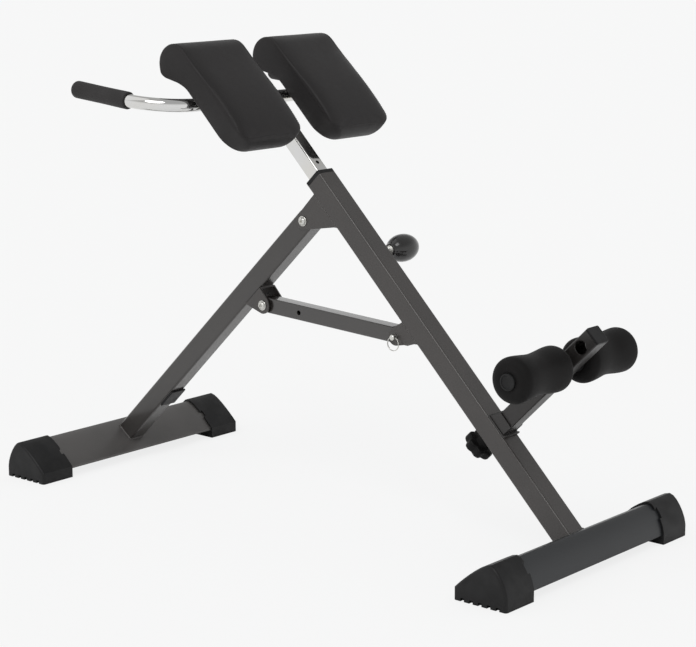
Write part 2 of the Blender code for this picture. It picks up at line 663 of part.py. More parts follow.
# Front leg and brace
def build_leg(leg):
    """The front leg with its bracket for the brace and the plate that the folded brace rests on."""
    tube = tube_loops(LEG_WIDTH, LEG_HEIGHT, LEG_CORNER, LEG_WALL)
    part = make("front_leg_tube", prism(tube, -LEG_LENGTH, LEG_HEIGHT / 2, "X"), "beam_paint", leg)
    cut(part, foot_cope(-1, LEG_FRAME))
    cut(part, prism([rounded_end(LEG_HEIGHT / 2, 1)], -LEG_WIDTH, LEG_WIDTH))
    cut(part, rod(PIVOT_BOLT_RADIUS + PIVOT_GAP, -LEG_WIDTH, LEG_WIDTH, "Y", (0, 0), SMALL_STEPS))
    inner_face = -LEG_HEIGHT / 2 - GAP
    right = -BRACE_PIVOT_DOWN + LEG_BRACKET_PAST
    eye = (-BRACE_PIVOT_DOWN, -BRACE_PIVOT_OFFSET)
    bracket = pivot_bracket("leg_bracket", "beam_paint", leg, right - LEG_BRACKET_LENGTH, right, inner_face,
                            eye, LEG_BRACKET_WIDTH)
    bore = PIVOT_BOLT_RADIUS + PIVOT_GAP
    cut(bracket, rod(bore, -LEG_BRACKET_WIDTH, LEG_BRACKET_WIDTH, "Y", eye, SMALL_STEPS))
    pivot_bolt("brace_bolt", LEG_BRACKET_WIDTH / 2, leg, (eye[0], 0, eye[1]))
    gap_width = LEG_BRACKET_WIDTH / 2 - PLATE - BRACE_SIZE / 2
    for hand, word in ((-1, "right"), (1, "left")):
        middle = hand * (BRACE_SIZE / 2 + gap_width / 2)
        washer("brace_spacer_" + word, PIVOT_BOLT_RADIUS + PIVOT_GAP, SPACER_RADIUS, gap_width - 2 * GAP,
               "plastic", leg, (eye[0], middle, eye[1]))
    make("leg_stop", block((-STOP_DOWN - STOP_LENGTH / 2, -LEG_WIDTH / 2, inner_face - STOP_THICKNESS),
                           (-STOP_DOWN + STOP_LENGTH / 2, LEG_WIDTH / 2, inner_face)), "plastic", leg)


def fold_pose(angle):
    """World frame of the brace when the front leg has folded by an angle and the brace with it."""
    turn = Matrix.Rotation(-angle, 4, "Y")
    swing = Matrix.Translation(FOLD_PIVOT) @ turn @ Matrix.Translation(-FOLD_PIVOT)
    return swing @ BRACE_FRAME @ Matrix.Rotation(angle * BRACE_TURN / FOLD_ANGLE, 4, "Y")


def build_brace(brace):
    """The brace: pivot hole, spare hole and a slanted slot that lets it swing off the lock pin."""
    tube = tube_loops(BRACE_SIZE, BRACE_SIZE, BRACE_CORNER, BRACE_WALL)
    half = BRACE_SIZE / 2
    part = make("brace_tube", prism(tube, -half, BRACE_SPAN + BRACE_OVERRUN, "X"), "beam_paint", brace)
    cut(part, prism([rounded_end(half, -1)], -BRACE_SIZE, BRACE_SIZE))
    cut(part, rod(PIVOT_BOLT_RADIUS + PIVOT_GAP, -BRACE_SIZE, BRACE_SIZE, "Y", (0, 0), SMALL_STEPS))
    cut(part, rod(SPARE_HOLE_RADIUS, -BRACE_SIZE, BRACE_SIZE, "Y", (SPARE_HOLE_ALONG, 0), SMALL_STEPS))
    start = Vector((BRACE_SPAN, 0, 0))
    freed = fold_pose(SLOT_FOLD).inverted() @ LOCK_PIN
    way = (freed - start).normalized()
    lean = atan2(way.z, way.x)
    width = LOCK_PIN_SLOT_WIDTH / 2
    far = start + way * BRACE_SIZE
    slot = arc((start.x, 0), width, lean + pi / 2, lean + 3 * pi / 2, 10)
    slot += [(far.x + width * sin(lean), far.z - width * cos(lean)),
             (far.x - width * sin(lean), far.z + width * cos(lean))]
    cut(part, prism([slot], -BRACE_SIZE, BRACE_SIZE))


def build_lock_pin(pin):
    """The ring pin through the brace bracket: pin with a cross-bored head, and its split ring."""
    outer = BEAM_WIDTH / 2 + GAP
    tip = BEAM_WIDTH / 2 + PIN_TIP_LENGTH
    chamfer = LOCK_PIN_RADIUS / 3
    head = -outer - PIN_HEAD_LENGTH
    profile = [(0, tip), (LOCK_PIN_RADIUS - chamfer, tip), (LOCK_PIN_RADIUS, tip - chamfer),
               (LOCK_PIN_RADIUS, -outer), (PIN_HEAD_RADIUS, -outer), (PIN_HEAD_RADIUS, chamfer + head),
               (PIN_HEAD_RADIUS - chamfer, head), (0, head)]
    part = turned("lock_pin", profile, "zinc", pin, axis="Y", steps=SMALL_STEPS)
    eye = (-outer - PIN_HEAD_LENGTH / 2, 0)
    bore = rod(RING_HOLE_RADIUS, -2 * PIN_HEAD_RADIUS, 2 * PIN_HEAD_RADIUS, "X", eye, 12)
    bore.transform(part.rotation_euler.to_matrix().to_4x4().inverted())
    cut(part, bore)
    drop = RING_RADIUS - RING_RADIUS * (1 - cos(asin(PIN_HEAD_RADIUS / RING_RADIUS))) / 2
    loop = [(a + RING_RADIUS, b) for a, b in reversed(circle((0, 0), RING_WIRE_RADIUS, 6))]
    mesh = closed_profile("pin_ring", loop)
    ring = make("pin_ring", mesh, "zinc", pin, (0, -outer - PIN_HEAD_LENGTH / 2, -drop))
    ring.rotation_euler = (-pi / 2, 0, 0)
    add_screw(ring, ROUND_STEPS)


# Seat post, handlebar and pads
def scallop_loop(places, radius, half_width):
    """A row of holes joined by a narrower slot, as one outline."""
    meet = asin(half_width / radius)
    upper = []
    for i, place in enumerate(places):
        start = pi if i == 0 else pi - meet
        end = 0 if i == len(places) - 1 else meet
        upper += arc((place, 0), radius, start, end, 6)
    return upper + [(a, -b) for a, b in reversed(upper[1:-1])]


def build_post(post):
    """The sliding chrome post: cross bore for the handlebar, a row of pull-pin holes, plug and glide."""
    top = -(BAR_ALONG + POST_PAST_BAR)
    tube = tube_loops(POST_SIZE, POST_SIZE, POST_CORNER, POST_WALL)
    part = make("seat_post", prism(tube, top, -POST_BOTTOM_ALONG, "X"), "chrome", post)
    cut(part, rod(BAR_RADIUS + GAP, -POST_SIZE, POST_SIZE, "Y", (-BAR_ALONG, 0)))
    steps = range(POST_HOLES_ABOVE, -POST_HOLES_BELOW - 1, -1)
    places = [-(PULL_PIN_ALONG + i * POST_HOLE_PITCH) for i in steps]
    row = scallop_loop(places, PULL_PIN_RADIUS + 3 * SLIDE_GAP, PULL_PIN_RADIUS + SLIDE_GAP)
    within = POST_SIZE / 2 - 2 * POST_WALL
    cut(part, prism([row], within, POST_SIZE))
    cut(part, rod(POST_VENT_RADIUS, within, POST_SIZE, "Z", (-POST_VENT_ALONG, 0), SMALL_STEPS))
    rim = rounded_box(POST_SIZE, POST_SIZE, POST_CORNER)
    inside = POST_SIZE - 2 * (POST_WALL + GAP)
    bore = rounded_box(inside, inside, POST_WALL / 4)
    plug = make("post_plug", prism([rim], top - GAP - POST_PLUG_RIM, top - GAP, "X"), "plastic", post)
    plug_end = -(BAR_ALONG + BAR_RADIUS + GAP)
    join(plug, prism([bore], top - GAP - POST_PLUG_RIM / 2, plug_end, "X"))
    drawn = 2 * (BEAM_WALL + SLIDE_GAP)
    outside = rounded_box(BEAM_WIDTH - drawn, BEAM_HEIGHT - drawn, BEAM_CORNER - BEAM_WALL)
    end = -POST_BOTTOM_ALONG
    body = prism([outside], end - GLIDE_LENGTH, end + POST_PLUG_RIM, "X")
    glide = make("post_glide", body, "plastic", post)
    socket = rounded_box(POST_SIZE + 2 * GAP, POST_SIZE + 2 * GAP, POST_CORNER)
    cut(glide, prism([socket], end - 2 * GLIDE_LENGTH, end + GAP, "X"))


def bar_place(reach, across):
    """Point of the handlebar's middle line in the beam's frame: out along the grips and across."""
    return (-BAR_ALONG - reach * cos(BAR_DROP), across, -reach * sin(BAR_DROP))


def build_handlebar(post):
    """The U-shaped handlebar through the post, and a grip on each end."""
    straight = BAR_HALF_SPREAD - BAR_BEND
    half = [(BAR_REACH, BAR_HALF_SPREAD)]
    half += [(BAR_BEND - b, straight + a) for a, b in arc((0, 0), BAR_BEND, 0, pi / 2, 9)]
    route = [bar_place(reach, across) for reach, across in half]
    route += [bar_place(reach, -across) for reach, across in reversed(half)]
    make("handlebar", pipe(route, BAR_RADIUS, 4), "chrome", post)
    inner = BAR_RADIUS + GAP
    top = BAR_REACH + GAP + GRIP_END_WALL
    mouth = top - GRIP_LENGTH
    dome = [(GRIP_RADIUS - GRIP_DOME + a, top - GRIP_DOME + b)
            for a, b in reversed(arc((0, 0), GRIP_DOME, 0, pi / 2, 4))]
    tube_end = BAR_REACH + GAP
    profile = [(0, top)] + dome + [(GRIP_RADIUS, mouth), (inner, mouth), (inner, tube_end), (0, tube_end)]
    for hand, word in ((-1, "right"), (1, "left")):
        grip = turned("grip_" + word, profile, "foam", post, (-BAR_ALONG, hand * BAR_HALF_SPREAD, 0))
        grip.rotation_euler = (0, atan2(-cos(BAR_DROP), -sin(BAR_DROP)), 0)


def pad_profile():
    """Side outline of a pad along the beam and above it: round lower end, crowned top, rolled upper end."""
    low, high = PAD_UNDERSIDE, PAD_UNDERSIDE + PAD_SEAM
    start = PAD_BOTTOM_ALONG
    end = PAD_BOTTOM_ALONG + PAD_LENGTH
    roll = (end - PAD_ROLL_RADIUS, PAD_ROLL_HEIGHT)
    lower_end = [(start + a * PAD_END_SLOPE, low + b * PAD_SEAM) for a, b in PAD_END_POINTS]
    top = [(start + (roll[0] - start) * share, high) for share in PAD_TOP_SHARES]
    bend = arc(roll, PAD_ROLL_RADIUS, PAD_BEND_REACH, -PAD_BEND_REACH, 6)
    hang = low - roll[1] + PAD_ROLL_RADIUS
    neck = [(roll[0] - PAD_ROLL_RADIUS * back, low - hang * drop) for back, drop in PAD_NECK_POINTS]
    under = [(start + (roll[0] - start) * share, low) for share in PAD_UNDER_SHARES]
    return lower_end + top + bend + neck + under


def ramp(value, start, end):
    """How far a value is on its way from a start to an end, 0 to 1."""
    return min(1.0, max(0.0, (value - start) / (end - start)))


def pad_ring(outline, share, centre):
    """One ring of a pad's skin: the side outline at a share of the half width from the pad's middle."""
    half = PAD_WIDTH / 2
    edge = ramp(abs(share) * half, half - PAD_CORNER, half)
    draw = 1 - sqrt(1 - edge * edge)
    end = PAD_BOTTOM_ALONG + PAD_LENGTH
    ring = []
    for along, above in grown(outline, -PAD_SIDE_DRAW * draw):
        near_end = 1 - ramp(along, PAD_BOTTOM_ALONG, PAD_BOTTOM_ALONG + 2 * PAD_CORNER)
        lift = ramp(above, PAD_UNDERSIDE + PAD_SEAM / 2, PAD_UNDERSIDE + PAD_SEAM)
        fade = ramp(along, end - PAD_FADE * PAD_ROLL_RADIUS, end - PAD_ROLL_RADIUS)
        crown = PAD_CROWN + (PAD_ROLL_CROWN - PAD_CROWN) * fade
        place = along + (PAD_CORNER - PAD_SIDE_DRAW) * draw * near_end
        ring.append((-place, centre + share * half, above + crown * lift * (1 - share * share)))
    return ring


def build_pads(post):
    """The two hip pads, each a crowned cushion with drawn-in sides and a rolled upper end, on a channel."""
    outline = pad_profile()
    for hand, word in ((-1, "right"), (1, "left")):
        centre = hand * (PAD_INNER + PAD_WIDTH / 2)
        rings = [pad_ring(outline, share, centre) for share in PAD_ROWS]
        pad = make("pad_" + word, loft(rings), "vinyl", post, smooth=60)
        soft = pad.modifiers.new("Subdivision", "SUBSURF")
        soft.levels = 1
        soft.render_levels = 1
        build_pad_channel("pad_bracket_" + word, centre, post)


def build_pad_channel(name, centre, post):
    """The steel channel under one pad, coped over the handlebar's cross bar."""
    top = PAD_UNDERSIDE - PAD_BRACKET_GAP
    half = PAD_BRACKET_WIDTH / 2
    clear = half - PLATE
    loop = [(centre - half, 0), (centre - half, top), (centre + half, top), (centre + half, 0),
            (centre + clear, 0), (centre + clear, top - PLATE), (centre - clear, top - PLATE),
            (centre - clear, 0)]
    upper = -(BAR_ALONG + PAD_BRACKET_PAST_BAR)
    channel = make(name, prism([loop], upper, upper + PAD_BRACKET_LENGTH, "X"), "zinc", post)
    reach = PAD_BRACKET_WIDTH
    cut(channel, rod(BAR_RADIUS + GAP, centre - reach, centre + reach, "Y", (-BAR_ALONG, 0)))


# Pull pin
def build_pull_pin(beam, puller):
    """The spring pin on the beam's left side that holds the post: threaded collar, pin and knob."""
    outer = BEAM_WIDTH / 2 + GAP
    washer("pull_collar", PULL_PIN_RADIUS + GAP, PULL_COLLAR_RADIUS, PULL_COLLAR_LENGTH, "zinc", beam,
           (-PULL_PIN_ALONG, outer + PULL_COLLAR_LENGTH / 2, 0))
    tip = POST_SIZE / 2 - POST_WALL - PULL_PIN_RADIUS / 4
    foot = outer + PULL_COLLAR_LENGTH + GAP
    head = foot + PULL_STEM_IN_KNOB
    nose = PULL_PIN_RADIUS / 3
    profile = [(0, head), (PULL_PIN_RADIUS, head), (PULL_PIN_RADIUS, tip + nose),
               (PULL_PIN_RADIUS - nose, tip), (0, tip)]
    turned("pull_pin", profile, "zinc", puller, axis="Y", steps=SMALL_STEPS)
    end = foot + PULL_KNOB_LENGTH
    widest = foot + PULL_KNOB_LENGTH * PULL_WIDEST_SHARE
    egg = []
    for turn in (pi / 2 * i / EGG_STEPS for i in range(1, EGG_STEPS + 1)):
        egg.append((PULL_KNOB_RADIUS * sin(turn), widest + (end - widest) * cos(turn)))
    neck = bow(egg[-1], (PULL_KNOB_RADIUS, foot + PULL_KNOB_LENGTH * PULL_SHOULDER_SHARE),
               (PULL_NECK_RADIUS, foot + PULL_KNOB_LENGTH * PULL_NECK_SHARE), (PULL_NECK_RADIUS, foot), 6)
    bore = PULL_PIN_RADIUS + GAP
    knob = [(0, end)] + egg + neck + [(bore, foot), (bore, head + GAP), (0, head + GAP)]
    turned("pull_knob", knob, "gloss_plastic", puller, axis="Y")


# Roller arm
def build_arm(arm):
    """The arm across the beam that holds the ankle rollers, with its saddle, plug and axle."""
    seat = BEAM_HEIGHT / 2 + GAP
    foot = seat + PLATE + GAP
    top = ARM_TOP - ARM_PLUG_RIM - GAP
    tube = tube_loops(ARM_SIZE, ARM_SIZE, ARM_CORNER, ARM_WALL)
    part = make("roller_arm", prism(tube, foot, top, "Z"), "beam_paint", arm)
    for height in (AXLE_HEIGHT, AXLE_HEIGHT + AXLE_HOLE_PITCH):
        cut(part, rod(AXLE_RADIUS + GAP, -ARM_SIZE, ARM_SIZE, "Y", (0, height)))
    rim = rounded_box(ARM_SIZE, ARM_SIZE, ARM_CORNER)
    inside = ARM_SIZE - 2 * (ARM_WALL + GAP)
    bore = rounded_box(inside, inside, ARM_CORNER - ARM_WALL)
    plug = make("arm_plug", prism([rim], top + GAP, ARM_TOP, "Z"), "plastic", arm)
    join(plug, prism([bore], top - ARM_PLUG_DEPTH, top + ARM_PLUG_RIM / 2, "Z"))
    build_saddle(arm, seat)


def build_saddle(arm, seat):
    """The folded sheet seat between the arm and the beam: base, bent lip and two slanted cheeks."""
    half = ARM_SIZE / 2
    right = half + SADDLE_PAST
    left = right - SADDLE_LENGTH
    base, top = seat + PLATE, seat + SADDLE_CHEEK
    width = BEAM_WIDTH / 2
    saddle = make("arm_saddle", block((left, -width, seat), (right, width, base)), "beam_paint", arm)
    join(saddle, block((right - PLATE, -width, base - PLATE / 2), (right, width, seat + SADDLE_LIP)))
    middle = base - PLATE / 2
    corner = arc((half - SADDLE_ROUNDING, top - SADDLE_ROUNDING), SADDLE_ROUNDING, 0, pi / 2, 4)
    cheek = [(left + PLATE / 2, middle), (half, middle)] + corner + [(-half, top)]
    outer = half + GAP + PLATE
    join(saddle, prism([cheek], -outer, outer))
    cut(saddle, block((left - PLATE, -half - GAP, base), (half + GAP, half + GAP, top + PLATE)))
    bore = rod(STUD_RADIUS + PIVOT_GAP, seat - PLATE, base + PLATE, "Z", (-STUD_OFFSET, 0), SMALL_STEPS)
    cut(saddle, bore)


def roller_profile():
    """Closed profile of a foam roller about its axle: round ends, two bulges and a waist."""
    half = ROLLER_LENGTH / 2
    bore = AXLE_RADIUS + SLIDE_GAP
    soft = ROLLER_END_ROUNDING
    end = [(ROLLER_RADIUS - soft + a, half - soft + b) for a, b in reversed(arc((0, 0), soft, 0, pi / 2, 4))]
    upper = [(bore, half)] + end
    for i in range(1, 6):
        height = (half - soft) * (1 - i / 5)
        sink = (0.5 + 0.5 * cos(pi * height / (half - soft))) ** 1.5
        upper.append((ROLLER_RADIUS - (ROLLER_RADIUS - ROLLER_WAIST) * sink, height))
    return upper + [(radius, -height) for radius, height in reversed(upper[:-1])]


def build_axle(axle):
    """The roller axle through the arm with a collar each side, end plugs, and the two foam rollers."""
    half = ROLLER_INNER + ROLLER_LENGTH
    loops = [circle((0, 0), AXLE_RADIUS), circle((0, 0), AXLE_RADIUS - AXLE_WALL)]
    make("roller_axle", prism(loops, -half, half), "chrome", axle)
    start = ARM_SIZE / 2 + GAP
    length = ROLLER_INNER - start - GAP
    profile = roller_profile()
    for hand, word in ((-1, "right"), (1, "left")):
        washer("axle_collar_" + word, AXLE_RADIUS + GAP, COLLAR_RADIUS, length, "plastic", axle,
               (0, hand * (start + length / 2), 0))
        face = hand * (half + GAP)
        cap = make("axle_plug_" + word, rod(AXLE_PLUG_RADIUS, *sorted((face, face + hand * AXLE_PLUG_RIM))),
                   "plastic", axle)
        inside = sorted((hand * (half - AXLE_PLUG_DEPTH), hand * (half + AXLE_PLUG_RIM / 2)))
        join(cap, rod(AXLE_RADIUS - AXLE_WALL - GAP, *inside))
        middle = (0, hand * (ROLLER_INNER + ROLLER_LENGTH / 2), 0)
        roller = make("roller_" + word, closed_profile("roller", profile), "foam", axle, middle)
        roller.rotation_euler = (-pi / 2, 0, 0)
        add_screw(roller, ROUND_STEPS)


def build_star_knob(arm, star):
    """The stud that clamps the arm to the beam and the lobed knob on it."""
    seat = BEAM_HEIGHT / 2 + GAP + PLATE + GAP
    low = -(BEAM_HEIGHT / 2 + STUD_BELOW)
    top = seat + STUD_HEAD_HEIGHT
    profile = [(0, top), (STUD_HEAD_RADIUS, top), (STUD_HEAD_RADIUS, seat), (STUD_RADIUS, seat),
               (STUD_RADIUS, low), (0, low)]
    turned("arm_stud", profile, "zinc", arm, (-STUD_OFFSET, 0, 0), steps=SMALL_STEPS)
    face = -(BEAM_HEIGHT / 2 + GAP)
    lobes = []
    for i in range(STAR_LOBES * LOBE_STEPS):
        angle = 2 * pi * i / (STAR_LOBES * LOBE_STEPS)
        radius = STAR_RADIUS - STAR_LOBE_DEPTH * (1 - cos(STAR_LOBES * angle)) / 2
        lobes.append((radius * cos(angle), radius * sin(angle)))
    under = face - STAR_HUB_HEIGHT
    knob = make("star_knob", prism([lobes], under - STAR_THICKNESS, under, "Z"), "plastic", star)
    join(knob, rod(STAR_HUB_RADIUS, under - STAR_THICKNESS / 2, face, "Z", steps=SMALL_STEPS))
    cut(knob, rod(STUD_RADIUS + GAP, low - GAP, face + STUD_BELOW, "Z", (0, 0), SMALL_STEPS))


def main():
    """Build the whole bench, one frame after another."""
    for thing in list(bpy.data.objects):
        bpy.data.objects.remove(thing)
    for name in ("back_extension_bench", "cutters"):
        bpy.context.scene.collection.children.link(bpy.data.collections.new(name))
    beam = frame_empty("beam_frame", BEAM_FRAME)
    leg = frame_empty("front_leg_pivot", LEG_FRAME)
    build_foot("rear", 1, None)
    build_foot("front", -1, leg)
    build_beam(beam)
    build_sleeve(beam)
    build_fold_bracket(beam)
    build_brace_bracket(beam)
    build_leg(leg)
    build_brace(frame_empty("brace_pivot", BRACE_FRAME))
    build_lock_pin(frame_empty("lock_pin_axis", Matrix.Translation(LOCK_PIN)))
    post = frame_empty("seat_post_slide", BEAM_FRAME)
    build_post(post)
    build_handlebar(post)
    build_pads(post)
    side = BEAM_FRAME @ Matrix.Translation((-PULL_PIN_ALONG, 0, 0))
    build_pull_pin(beam, frame_empty("pull_pin_axis", side))
    foot = BEAM_FRAME @ Matrix.Translation((-ARM_ALONG, 0, 0))
    arm = frame_empty("roller_arm_frame", foot)
    build_arm(arm)
    build_axle(frame_empty("roller_axis", foot @ Matrix.Translation((0, 0, AXLE_HEIGHT))))
    clamp = foot @ Matrix.Translation((-STUD_OFFSET, 0, 0))
    build_star_knob(arm, frame_empty("star_knob_axis", clamp))


main()
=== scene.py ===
"""Dresses a folding back extension bench and sets it in a plain pale studio."""

from __future__ import annotations

import json
import logging
from dataclasses import dataclass, field
from enum import Enum
from math import asin, atan2, cos, exp, pi, radians, sin, sqrt
from typing import Callable, Iterable, Sequence

import bmesh
import bpy
from mathutils import Euler, Matrix, Vector, noise
from mathutils.bvhtree import BVHTree
from mathutils.kdtree import KDTree

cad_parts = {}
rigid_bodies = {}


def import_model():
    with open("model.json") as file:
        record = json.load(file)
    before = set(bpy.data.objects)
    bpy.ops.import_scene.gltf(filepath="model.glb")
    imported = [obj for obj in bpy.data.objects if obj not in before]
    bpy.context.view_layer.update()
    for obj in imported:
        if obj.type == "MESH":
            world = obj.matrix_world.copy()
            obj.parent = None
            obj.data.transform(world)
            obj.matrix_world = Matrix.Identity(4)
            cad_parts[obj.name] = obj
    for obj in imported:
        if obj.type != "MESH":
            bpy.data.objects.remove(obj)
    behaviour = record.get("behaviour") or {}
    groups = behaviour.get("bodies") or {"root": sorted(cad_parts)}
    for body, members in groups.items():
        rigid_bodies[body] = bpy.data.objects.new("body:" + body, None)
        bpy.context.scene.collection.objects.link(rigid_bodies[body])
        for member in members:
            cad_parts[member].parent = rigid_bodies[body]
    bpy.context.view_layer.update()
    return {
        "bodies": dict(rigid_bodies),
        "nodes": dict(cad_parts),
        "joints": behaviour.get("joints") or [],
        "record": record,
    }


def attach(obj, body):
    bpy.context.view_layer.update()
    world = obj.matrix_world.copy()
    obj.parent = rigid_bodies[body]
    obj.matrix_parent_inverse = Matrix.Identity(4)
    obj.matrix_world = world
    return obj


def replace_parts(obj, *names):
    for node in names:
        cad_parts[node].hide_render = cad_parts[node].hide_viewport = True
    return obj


LOG = logging.getLogger("bench")
Pair = tuple[float, float]
Triple = tuple[float, float, float]
Vert = bmesh.types.BMVert


class Hand(Enum):
    """The two sides of the bench, with the sign of their places across it."""

    RIGHT = -1
    LEFT = 1

    @property
    def word(self) -> str:
        """The side's word in piece names."""
        return self.name.lower()


@dataclass(frozen=True)
class Layout:
    """Places and angles that several sub-assemblies share, in metres and radians."""

    seat_x: float = 0.5668
    seat_height: float = 0.044
    beam_angle: float = radians(45.16)
    beam_width: float = 0.045
    beam_height: float = 0.041
    arm_along: float = 0.2376
    stud_offset: float = 0.006
    axle_height: float = 0.2101
    pin_along: float = 0.6516
    leg_top: Triple = (-0.048446, 0.0, 0.5542)
    leg_angle: float = 0.777471
    leg_width: float = 0.038
    leg_height: float = 0.042
    brace_pivot: Triple = (-0.155921, 0.0, 0.376856)

    @property
    def beam(self) -> Matrix:
        """The beam's frame: X down the beam, Y to the left, Z above its middle line."""
        seat = Matrix.Translation((self.seat_x, 0, self.seat_height))
        return seat @ Matrix.Rotation(self.beam_angle, 4, "Y")

    @property
    def leg(self) -> Matrix:
        """The front leg's frame at the fold pivot, X towards its upper end."""
        return Matrix.Translation(self.leg_top) @ Matrix.Rotation(-self.leg_angle, 4, "Y")

    @property
    def pull_pin(self) -> Matrix:
        """Frame on the pull pin's axis, Z outwards to the left."""
        return self.beam_at(self.pin_along) @ Matrix.Rotation(-pi / 2, 4, "X")

    def beam_at(self, along: float, across: float = 0.0, above: float = 0.0) -> Matrix:
        """The beam's frame, moved up the beam, to the left and above its middle line."""
        return self.beam @ Matrix.Translation((-along, across, above))


# Shader wiring


class Reading:
    """A number socket that takes part in sums; each operator adds one Math node."""

    def __init__(self, wiring: Wiring, socket: bpy.types.NodeSocket) -> None:
        """Keep the socket and the tree that it belongs to."""
        self.wiring = wiring
        self.socket = socket

    def _math(self, operation: str, first: Reading | float, second: Reading | float) -> Reading:
        """Add a Math node.

        Args:
            operation: Name of the Math node's operation.
            first: First value or reading.
            second: Second value or reading.

        Returns:
            The node's result.
        """
        made = self.wiring.node("ShaderNodeMath", {"operation": operation}, {0: first, 1: second})
        return self.wiring.reading(made)

    def __add__(self, other: Reading | float) -> Reading:
        """Sum of this and another value."""
        return self._math("ADD", self, other)

    def __radd__(self, other: float) -> Reading:
        """Sum of another value and this."""
        return self._math("ADD", other, self)

    def __sub__(self, other: Reading | float) -> Reading:
        """This less another value."""
        return self._math("SUBTRACT", self, other)

    def __rsub__(self, other: float) -> Reading:
        """Another value less this."""
        return self._math("SUBTRACT", other, self)

    def __mul__(self, other: Reading | float) -> Reading:
        """Product of this and another value."""
        return self._math("MULTIPLY", self, other)

    def __rmul__(self, other: float) -> Reading:
        """Product of another value and this."""
        return self._math("MULTIPLY", other, self)

    def ramp(self, low: float, high: float, start: float = 0.0, end: float = 1.0) -> Reading:
        """Map this smoothly from one range to another, held at both ends.

        Args:
            low: Value that gives start.
            high: Value that gives end.
            start: Result at low and beyond.
            end: Result at high and beyond.

        Returns:
            The mapped reading.
        """
        made = self.wiring.node("ShaderNodeMapRange", {"interpolation_type": "SMOOTHSTEP"},
                                {"Value": self, "From Min": low, "From Max": high,
                                 "To Min": start, "To Max": end})
        return self.wiring.reading(made)


class Wiring:
    """A node tree under construction."""

    def __init__(self, tree: bpy.types.NodeTree) -> None:
        """Empty the tree and keep it."""
        self.tree = tree
        tree.nodes.clear()

    def node(self, kind: str, settings: dict | None = None, sockets: dict | None = None) -> bpy.types.Node:
        """Add one node.

        Args:
            kind: The node's type.
            settings: The node's own properties, set first.
            sockets: A value, reading or socket for each input, by name or number.

        Returns:
            The new node.
        """
        made = self.tree.nodes.new(kind)
        for name, value in (settings or {}).items():
            setattr(made, name, value)
        for name, value in (sockets or {}).items():
            if isinstance(value, Reading):
                value = value.socket
            if isinstance(value, bpy.types.NodeSocket):
                self.tree.links.new(value, made.inputs[name])
            else:
                made.inputs[name].default_value = value
        return made

    def reading(self, node: bpy.types.Node, output: int | str = 0) -> Reading:
        """One output of a node as a reading."""
        return Reading(self, node.outputs[output])

    def places(self) -> bpy.types.NodeSocket:
        """Object coordinates, which are metres in the row's frame."""
        return self.node("ShaderNodeTexCoord").outputs["Object"]

    def noise(self, scale: float, detail: float = 2.0, rough: float = 0.5,
              stretch: Triple = (1.0, 1.0, 1.0)) -> Reading:
        """Noise over the object's own places.

        Args:
            scale: Waves to a metre.
            detail: Octaves.
            rough: Share kept from octave to octave.
            stretch: Factors on the three coordinates.

        Returns:
            The noise, about 0.5.
        """
        spread = self.node("ShaderNodeMapping", {}, {"Vector": self.places(), "Scale": stretch})
        made = self.node("ShaderNodeTexNoise", {}, {"Vector": spread.outputs[0], "Scale": scale,
                                                   "Detail": detail, "Roughness": rough})
        return self.reading(made)

    def cells(self, scale: float, feature: str = "F1") -> Reading:
        """Distances in a Voronoi pattern of so many cells to a metre."""
        sockets = {"Vector": self.places(), "Scale": scale}
        return self.reading(self.node("ShaderNodeTexVoronoi", {"feature": feature}, sockets), "Distance")

    def blend(self, factor: Reading, first: Triple | bpy.types.NodeSocket,
              second: Triple | bpy.types.NodeSocket) -> bpy.types.NodeSocket:
        """Mix two colours.

        Args:
            factor: Share of the second colour.
            first: Colour or socket at 0.
            second: Colour or socket at 1.

        Returns:
            The mixed colour's socket.
        """
        both = [(*c, 1.0) if isinstance(c, tuple) else c for c in (first, second)]
        made = self.node("ShaderNodeMix", {"data_type": "RGBA"}, {0: factor, 6: both[0], 7: both[1]})
        return made.outputs[2]

    def bump(self, height: Reading, distance: float, strength: float = 1.0,
             under: bpy.types.NodeSocket | None = None) -> bpy.types.NodeSocket:
        """Turn a height into a normal.

        Args:
            height: The height, in units of distance.
            distance: Metres that a height of 1 stands for.
            strength: Share of the effect.
            under: A normal that this one lies on.

        Returns:
            The normal's socket.
        """
        links = {"Height": height, "Distance": distance, "Strength": strength}
        if under is not None:
            links["Normal"] = under
        return self.node("ShaderNodeBump", {}, links).outputs[0]


